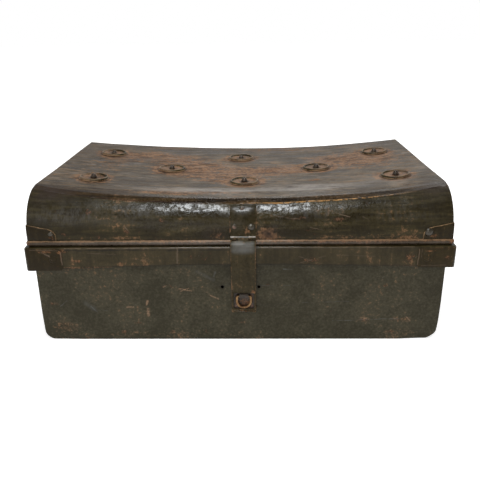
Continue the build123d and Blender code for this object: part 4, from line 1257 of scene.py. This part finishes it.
class TRUNK_OT_lid_band(bpy.types.Operator):
    """Form the band round the lid's foot and the bead above it"""

    bl_idname = "trunk.lid_band"
    bl_label = "Band and Bead"

    def execute(self, context):
        sheet = context.scene.trunk_sheet
        top, foot = band_high.z, band_low.z
        turn, steps, shelf_reach, wave = 1.1 * MM, 9, 13 * MM, 0.35 * MM
        profile = [(0, foot + (top - turn - foot) * step / steps) for step in range(steps + 1)]
        profile += [(-turn + turn * math.cos(bend), top - turn + turn * math.sin(bend))
                    for bend in (QUARTER / 4, QUARTER / 2, 3 * QUARTER / 4, QUARTER)]
        on_shelf = len(profile)
        profile += [(-5 * MM, top), (HALF - shelf_reach - band_high.x, top)]

        def sway(point, out, row):
            if row >= on_shelf:
                return 0.0, 0.0
            low_edge = 1 - min(1.0, row / steps)
            moved_out, _ = front_sway(point, out, wave, 0.0, 2.2)
            bent = hem_shift(point.x) * low_edge * smooth_step(-out.y, 0.0, 0.6)
            return moved_out - wave * (moved_out != 0), bent

        band = ring_round_lid(band_high.x, band_high.y, 6 * MM, profile, sway)
        apply_modifier(band, "SOLIDIFY", thickness=sheet.thickness, offset=-1.0)
        apply_modifier(band, "BEVEL", width=0.2 * MM, segments=2, limit_method="ANGLE",
                       angle_limit=math.radians(60))
        finish_piece(band, "band_sheet", "lid", "lid_band", "band")

        radius = (bead_high.z - bead_low.z) / 2 - 0.15 * MM
        middle, steps = BEAD_TOP - radius, 12
        arc = [math.pi * step / steps for step in range(steps + 1)]
        profile = [(radius * math.sin(bend) * 0.98, middle - radius * math.cos(bend))
                   for bend in arc]
        profile.append(profile[0])
        into_wall, bead_wave = 0.05 * MM, 0.25 * MM

        def bead_sway(point, out, row):
            moved_out, moved_up = front_sway(point, out, bead_wave, 0.35 * MM, 6.6)
            if row in (0, steps, steps + 1):
                return 0.0, moved_up
            return moved_out - bead_wave * (moved_out != 0), moved_up

        bead = ring_round_lid(HALF - into_wall, FRONT - into_wall, 2.4 * MM, profile, bead_sway)
        finish_piece(bead, "bead_roll", "lid", "lid_bead", "bead", 60.0)
        return {"FINISHED"}


# What lies in front of this is on the lid's front; the rest wraps round its ends.
ON_FRONT = -195 * MM


def brow_face(x, z, sheet):
    """The Y of the lid's true front at that height."""
    climb = z - (crown_height(x, sheet) - sheet.brow_radius)
    if climb <= 0:
        return -FRONT
    return sheet.brow_radius - FRONT - math.sqrt(max(0.0, sheet.brow_radius**2 - climb**2))


def bracket_height(x, z, low, high):
    """Height of a bracket's point with its foot on the bead and its top sloping to the middle."""
    inner, fall = min(abs(low.x), abs(high.x)), 0.36
    share = (z - low.z) / (high.z - low.z)
    slope = 1 - fall * min(1.0, max(0.0, (HALF - abs(x)) / (HALF - inner)))
    foot = BEAD_TOP + 0.1 * MM
    return foot + share * (high.z - foot) * slope


def bracket_rims():
    """The outlines of the two front brackets as strokes, in millimetres."""
    sheet = settings()[0]
    rims = []
    for sign, side, strength in ((-1, "left", 0.6), (1, "right", 0.95)):
        low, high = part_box(f"lid_bracket_front_{side}")
        inner, corner = min(abs(low.x), abs(high.x)), 12 * MM
        points = []
        for reach in (0.0, 0.8, 3.0, 6.5, 12.0, 26.0, 44.0):
            reach *= MM
            height = high.z
            if reach < corner:
                height -= corner - math.sqrt(corner**2 - (corner - reach) ** 2)
            x = sign * (inner + reach)
            height = bracket_height(x, height, low, high)
            points.append((x / MM, (brow_face(x, height, sheet) - 1 * MM) / MM, height / MM))
        points.insert(0, (points[0][0], -FRONT / MM - 1, BEAD_TOP / MM))
        rims += [(begin, end, 1.5, strength) for begin, end in zip(points, points[1:])]
    return rims


class TRUNK_OT_corner_plates(bpy.types.Operator):
    """Dress the corner brackets of the lid and the corner patches of the band"""

    bl_idname = "trunk.corner_plates"
    bl_label = "Corner Plates"

    def execute(self, context):
        sheet = context.scene.trunk_sheet
        for row in ("front", "back"):
            for side in ("left", "right"):
                bracket = soften(f"lid_bracket_{row}_{side}", "lid", "bracket")
                if row == "front":
                    low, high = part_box(f"lid_bracket_front_{side}")
                    for vertex in bracket.data.vertices:
                        x, y, z = vertex.co
                        vertex.co.z = bracket_height(x, z, low, high)
                        if y < ON_FRONT:
                            vertex.co.y += brow_face(x, vertex.co.z, sheet) - brow_face(x, z, sheet)
                patch = soften(f"band_patch_{row}_{side}", "lid", "patch")
                if row == "front":
                    low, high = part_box(f"band_patch_{row}_{side}")
                    for vertex in patch.data.vertices:
                        hang = (high.z - vertex.co.z) / (high.z - low.z)
                        vertex.co.z += hem_shift(vertex.co.x) * hang
        soften("band_patch_rivets", "lid", "patch")
        soften("lid_bracket_rivets", "lid", "dome")
        return {"FINISHED"}


LEFT_KNOCK = 0.42
# Where the tub's panels are cut into a grid for the knocks, in millimetres.
CUT_HEIGHTS = (3, 6, 10, 15, 22, 32, 46, 66, 96)
CUT_REACHES = (150, 200, 240, 262, 275, 285, 295, 302, 308, 313, 317)
CUT_DEPTHS = (-190, -165, -140, -110)


def corner_knock(x, y, z):
    """How far a point of the tub has been pushed in at the lower front corners."""
    reach, side = abs(x), math.copysign(1, x)
    strength = MM * (1.0 if x > 0 else LEFT_KNOCK) * (1 - smooth_step(y, -190 * MM, -110 * MM))
    inward = 2.0 * math.exp(-z / (110 * MM)) + 5.2 * math.exp(-z / (16 * MM))
    upward = (1.8 * smooth_step(reach, 255 * MM, 305 * MM)
              + 3.6 * smooth_step(reach, 308 * MM, 323 * MM)) * math.exp(-z / (12 * MM))
    return -side * inward * strength * smooth_step(reach, 150 * MM, 318 * MM), upward * strength


def knock_corners(piece):
    """Cuts a fine grid into the lower corners of a tub panel and knocks them in."""
    mesh = bmesh.new()
    mesh.from_mesh(piece.data)
    cuts = [((0, 0, height * MM), (0, 0, 1)) for height in CUT_HEIGHTS]
    cuts += [((sign * reach * MM, 0, 0), (1, 0, 0)) for sign in (-1, 1) for reach in CUT_REACHES]
    cuts += [((0, depth * MM, 0), (0, 1, 0)) for depth in CUT_DEPTHS]
    for place, facing in cuts:
        every = mesh.verts[:] + mesh.edges[:] + mesh.faces[:]
        bmesh.ops.bisect_plane(mesh, geom=every, dist=0.01 * MM, plane_co=place, plane_no=facing)
    for vertex in mesh.verts:
        inward, upward = corner_knock(*vertex.co)
        vertex.co.x += inward
        vertex.co.z += upward
    mesh.to_mesh(piece.data)
    mesh.free()


class TRUNK_OT_tub(bpy.types.Operator):
    """Dress the tub's panels and its rolled rim"""

    bl_idname = "trunk.tub"
    bl_label = "Tub"

    def execute(self, context):
        soften("body_back", "tub", "tub")
        for node in ("body_front", "body_wrap"):
            knock_corners(soften(node, "tub", "tub"))
        dress("fitting", "body_rim")
        return {"FINISHED"}


# A roundel inside its rim, as (radius, height) in millimetres.
DISH = [
    (23.7, 2.9), (23.0, 3.8), (22.2, 4.1), (21.4, 3.8), (20.4, 2.6), (19.2, 1.4), (17.6, 0.95),
    (8.0, 0.9), (2.0, 0.9),
]


class TRUNK_OT_roundels(bpy.types.Operator):
    """Turn one dished roundel and set copies of it and the forked studs on the top"""

    bl_idname = "trunk.roundels"
    bl_label = "Roundels"

    def execute(self, context):
        sheet = context.scene.trunk_sheet
        radius = (ROUNDELS[1][1].x - ROUNDELS[1][0].x) / 2
        stations = [(radius - 0.6 * MM, 0.1 * MM), (radius, 0.4 * MM), (radius - 0.3 * MM, 1.1 * MM)]
        stations += [(reach * MM, rise * MM) for reach, rise in DISH]
        first = turned_piece(stations, 56)
        for number, centre in enumerate(ROUNDEL_CENTRES, start=1):
            slope = centre.x / sag_radius(sheet)
            height = crown_height(centre.x, sheet) + back_rise(centre.x, centre.y, sheet)
            seat = seat_matrix((centre.x, centre.y, height), (-slope, 0, 1))
            copy = copied_to(first, seat)
            places = [vertex.co.xy for vertex in copy.data.vertices]
            store_values(copy, "from_middle", [place.length for place in places])
            store_values(copy, "towards_front", [-place.y / radius for place in places])
            for vertex in copy.data.vertices:
                wobble = ripple(vertex.co.x, vertex.co.y, 16 * MM, number * 1.3)
                edge = smooth_step(vertex.co.xy.length, 12 * MM, 20 * MM)
                vertex.co.z *= 1 + 0.12 * wobble * edge
            finish_piece(copy, f"roundel_{number}", "lid", f"lid_roundel_{number}",
                         "roundel", 50.0)
        bpy.data.objects.remove(first)
        soften("roundel_studs", "lid", "stud", rounding=0.4 * MM)
        return {"FINISHED"}


class TRUNK_OT_hasp(bpy.types.Operator):
    """Dress the hasp: plate, strap, pin and rivets"""

    bl_idname = "trunk.hasp"
    bl_label = "Hasp"

    def execute(self, context):
        soften("hasp_plate", "lid", "plate")
        soften("hasp_strap", "hasp", "strap", rounding=0.4 * MM)
        dress("rod", "hasp_pin")
        soften("hasp_plate_rivets", "lid", "plate_rivet")
        return {"FINISHED"}


class TRUNK_OT_staple(bpy.types.Operator):
    """Dress the staple plate, the clip, its rivets and the brass ring"""

    bl_idname = "trunk.staple"
    bl_label = "Staple and Ring"

    def execute(self, context):
        soften("staple_plate", "tub", "staple")
        soften("ring_clip", "tub", "staple")
        dress("ring", "staple_ring")
        soften("staple_rivets", "tub", "worn")
        return {"FINISHED"}


class TRUNK_OT_hinges(bpy.types.Operator):
    """Dress the two hinges at the back"""

    bl_idname = "trunk.hinges"
    bl_label = "Hinges"

    def execute(self, context):
        soften("hinge_body_leaves", "tub", "fitting")
        soften("hinge_lid_leaves", "lid", "fitting")
        soften("hinge_body_rivets", "tub", "rivet")
        soften("hinge_lid_rivets", "lid", "rivet")
        dress("rod", "hinge_pins")
        return {"FINISHED"}


class TRUNK_OT_handles(bpy.types.Operator):
    """Dress the drop handles at the ends"""

    bl_idname = "trunk.handles"
    bl_label = "Handles"

    def execute(self, context):
        for side in ("left", "right"):
            soften(f"handle_plate_{side}", "tub", "fitting")
            dress("rod", f"handle_bail_{side}")
        soften("handle_rivets", "tub", "rivet")
        return {"FINISHED"}


# ---- the stage -------------------------------------------------------------------------------
def seen_directly(tree):
    """1 where a camera, a mirror or glass looks at the backdrop, 0 where light falls on it."""
    path = tree.nodes.new("ShaderNodeLightPath")
    seen = Mask(path.outputs["Is Camera Ray"]).or_more(path.outputs["Is Glossy Ray"])
    return seen.or_more(path.outputs["Is Transmission Ray"])


def make_paper():
    """Pale paper that cameras, mirrors and glass see as white, and that still takes shadow."""
    paper = bpy.data.materials.new("Studio paper")
    paper.use_nodes = True
    tree = paper.node_tree
    tree.nodes.clear()
    diffuse = add_node(tree, "BsdfDiffuse", {"Color": (0.8, 0.8, 0.8)})
    glow = add_node(tree, "Emission", {"Color": (1, 1, 1), "Strength": seen_directly(tree) * 0.68})
    both = add_node(tree, "AddShader", {0: diffuse.outputs[0], 1: glow.outputs[0]})
    add_node(tree, "OutputMaterial", {"Surface": both.outputs[0]})
    return paper


def make_room(strength):
    """An even room for light, seen brighter where the brow and the top mirror it."""
    world = bpy.data.worlds.new("Studio room")
    world.use_nodes = True
    tree = world.node_tree
    tree.nodes.clear()
    height = axis_values(tree.nodes.new("ShaderNodeTexCoord").outputs["Generated"])["Z"]
    mirrored = 1.0 - height.rise(0.17, 0.3, 0.6) - height.rise(0.6, 0.75, 0.3)
    level = seen_directly(tree) * (mirrored - strength) + strength
    room = add_node(tree, "Background", {"Color": (1, 1, 1), "Strength": level})
    add_node(tree, "OutputWorld", {"Surface": room.outputs[0]})
    return world


def aim(thing, target):
    """Turns a lamp's -Z towards the target."""
    thing.rotation_euler = (Vector(target) - thing.location).to_track_quat("-Z", "Y").to_euler()


def add_softbox(name, place, target, width, height, watts, colour):
    """One rectangular lamp."""
    lamp = bpy.data.lights.new(name, "AREA")
    lamp.shape = "RECTANGLE"
    lamp.size = width
    lamp.size_y = height
    lamp.energy = watts
    lamp.color = colour
    thing = bpy.data.objects.new(name, lamp)
    thing.location = place
    bpy.context.scene.collection.objects.link(thing)
    aim(thing, target)


FLOOR_SIZE = 30
CAMERA_PLACE = (25.2 * MM, -1040.6 * MM, 484.1 * MM)


class TRUNK_OT_stage(bpy.types.Operator):
    """Set the floor, the room light, the lamps and the camera"""

    bl_idname = "trunk.stage"
    bl_label = "Stage"

    def execute(self, context):
        stage = context.scene.trunk_stage
        start_mesh()
        bpy.ops.mesh.primitive_plane_add(size=FLOOR_SIZE, location=(0, 0, 0))
        floor = bpy.context.object
        floor.name = "studio_floor"
        floor.data.materials.append(make_paper())
        context.scene.world = make_room(stage.room)

        cool, warm = (0.93, 0.97, 1.0), (1.0, 0.97, 0.93)
        add_softbox("overhead_softbox", (-0.04, -0.33, 1.25), (-0.05, -0.2, 0.22), 0.42, 0.30,
                    stage.overhead, cool)
        add_softbox("back_softbox", (0.45, 1.75, 1.75), (0.05, 0.0, 0.2), 2.0, 0.6,
                    stage.behind, warm)
        add_softbox("front_fill", (-0.7, -2.2, 1.5), (0, 0, 0.1), 1.4, 1.0, stage.fill, warm)

        camera_data = bpy.data.cameras.new("camera")
        camera_data.lens = stage.lens
        camera_data.sensor_width = 36
        camera = bpy.data.objects.new("camera", camera_data)
        context.scene.collection.objects.link(camera)
        stand = Matrix.Translation(CAMERA_PLACE)
        turn = Matrix.Rotation(stage.turn, 4, "Z")
        tip = Matrix.Rotation(QUARTER - stage.tip, 4, "X")
        roll = Matrix.Rotation(stage.roll, 4, "Z")
        camera.matrix_world = stand @ turn @ tip @ roll
        context.scene.camera = camera
        context.scene.view_settings.view_transform = "Standard"
        return {"FINISHED"}


PIECE_OPERATORS = (
    TRUNK_OT_lid_sheet, TRUNK_OT_lid_band, TRUNK_OT_corner_plates, TRUNK_OT_tub,
    TRUNK_OT_roundels, TRUNK_OT_hasp, TRUNK_OT_staple, TRUNK_OT_hinges, TRUNK_OT_handles,
    TRUNK_OT_stage,
)


class TRUNK_PT_panel(bpy.types.Panel):
    """Lists the trunk's operators, sizes and colours"""

    bl_idname = "TRUNK_PT_panel"
    bl_label = "Tin Trunk"
    bl_space_type = "VIEW_3D"
    bl_region_type = "UI"
    bl_category = "Trunk"

    def draw(self, context):
        layout = self.layout
        for group in settings():
            box = layout.box()
            for name in type(group).__annotations__:
                box.prop(group, name)
        for operator in PIECE_OPERATORS:
            layout.operator(operator.bl_idname)


CLASSES = (TrunkSheet, TrunkPaint, TrunkStage, *PIECE_OPERATORS, TRUNK_PT_panel)


def register():
    """Registers the classes and the settings on the scene."""
    for item in CLASSES:
        bpy.utils.register_class(item)
    bpy.types.Scene.trunk_sheet = PointerProperty(type=TrunkSheet)
    bpy.types.Scene.trunk_paint = PointerProperty(type=TrunkPaint)
    bpy.types.Scene.trunk_stage = PointerProperty(type=TrunkStage)


def unregister():
    """Removes what register added."""
    del bpy.types.Scene.trunk_stage
    del bpy.types.Scene.trunk_paint
    del bpy.types.Scene.trunk_sheet
    for item in reversed(CLASSES):
        bpy.utils.unregister_class(item)


def main():
    """Builds every piece and the stage."""
    register()
    for operator in PIECE_OPERATORS:
        area, name = operator.bl_idname.split(".")
        getattr(getattr(bpy.ops, area), name)()


if __name__ == "__main__":
    main()
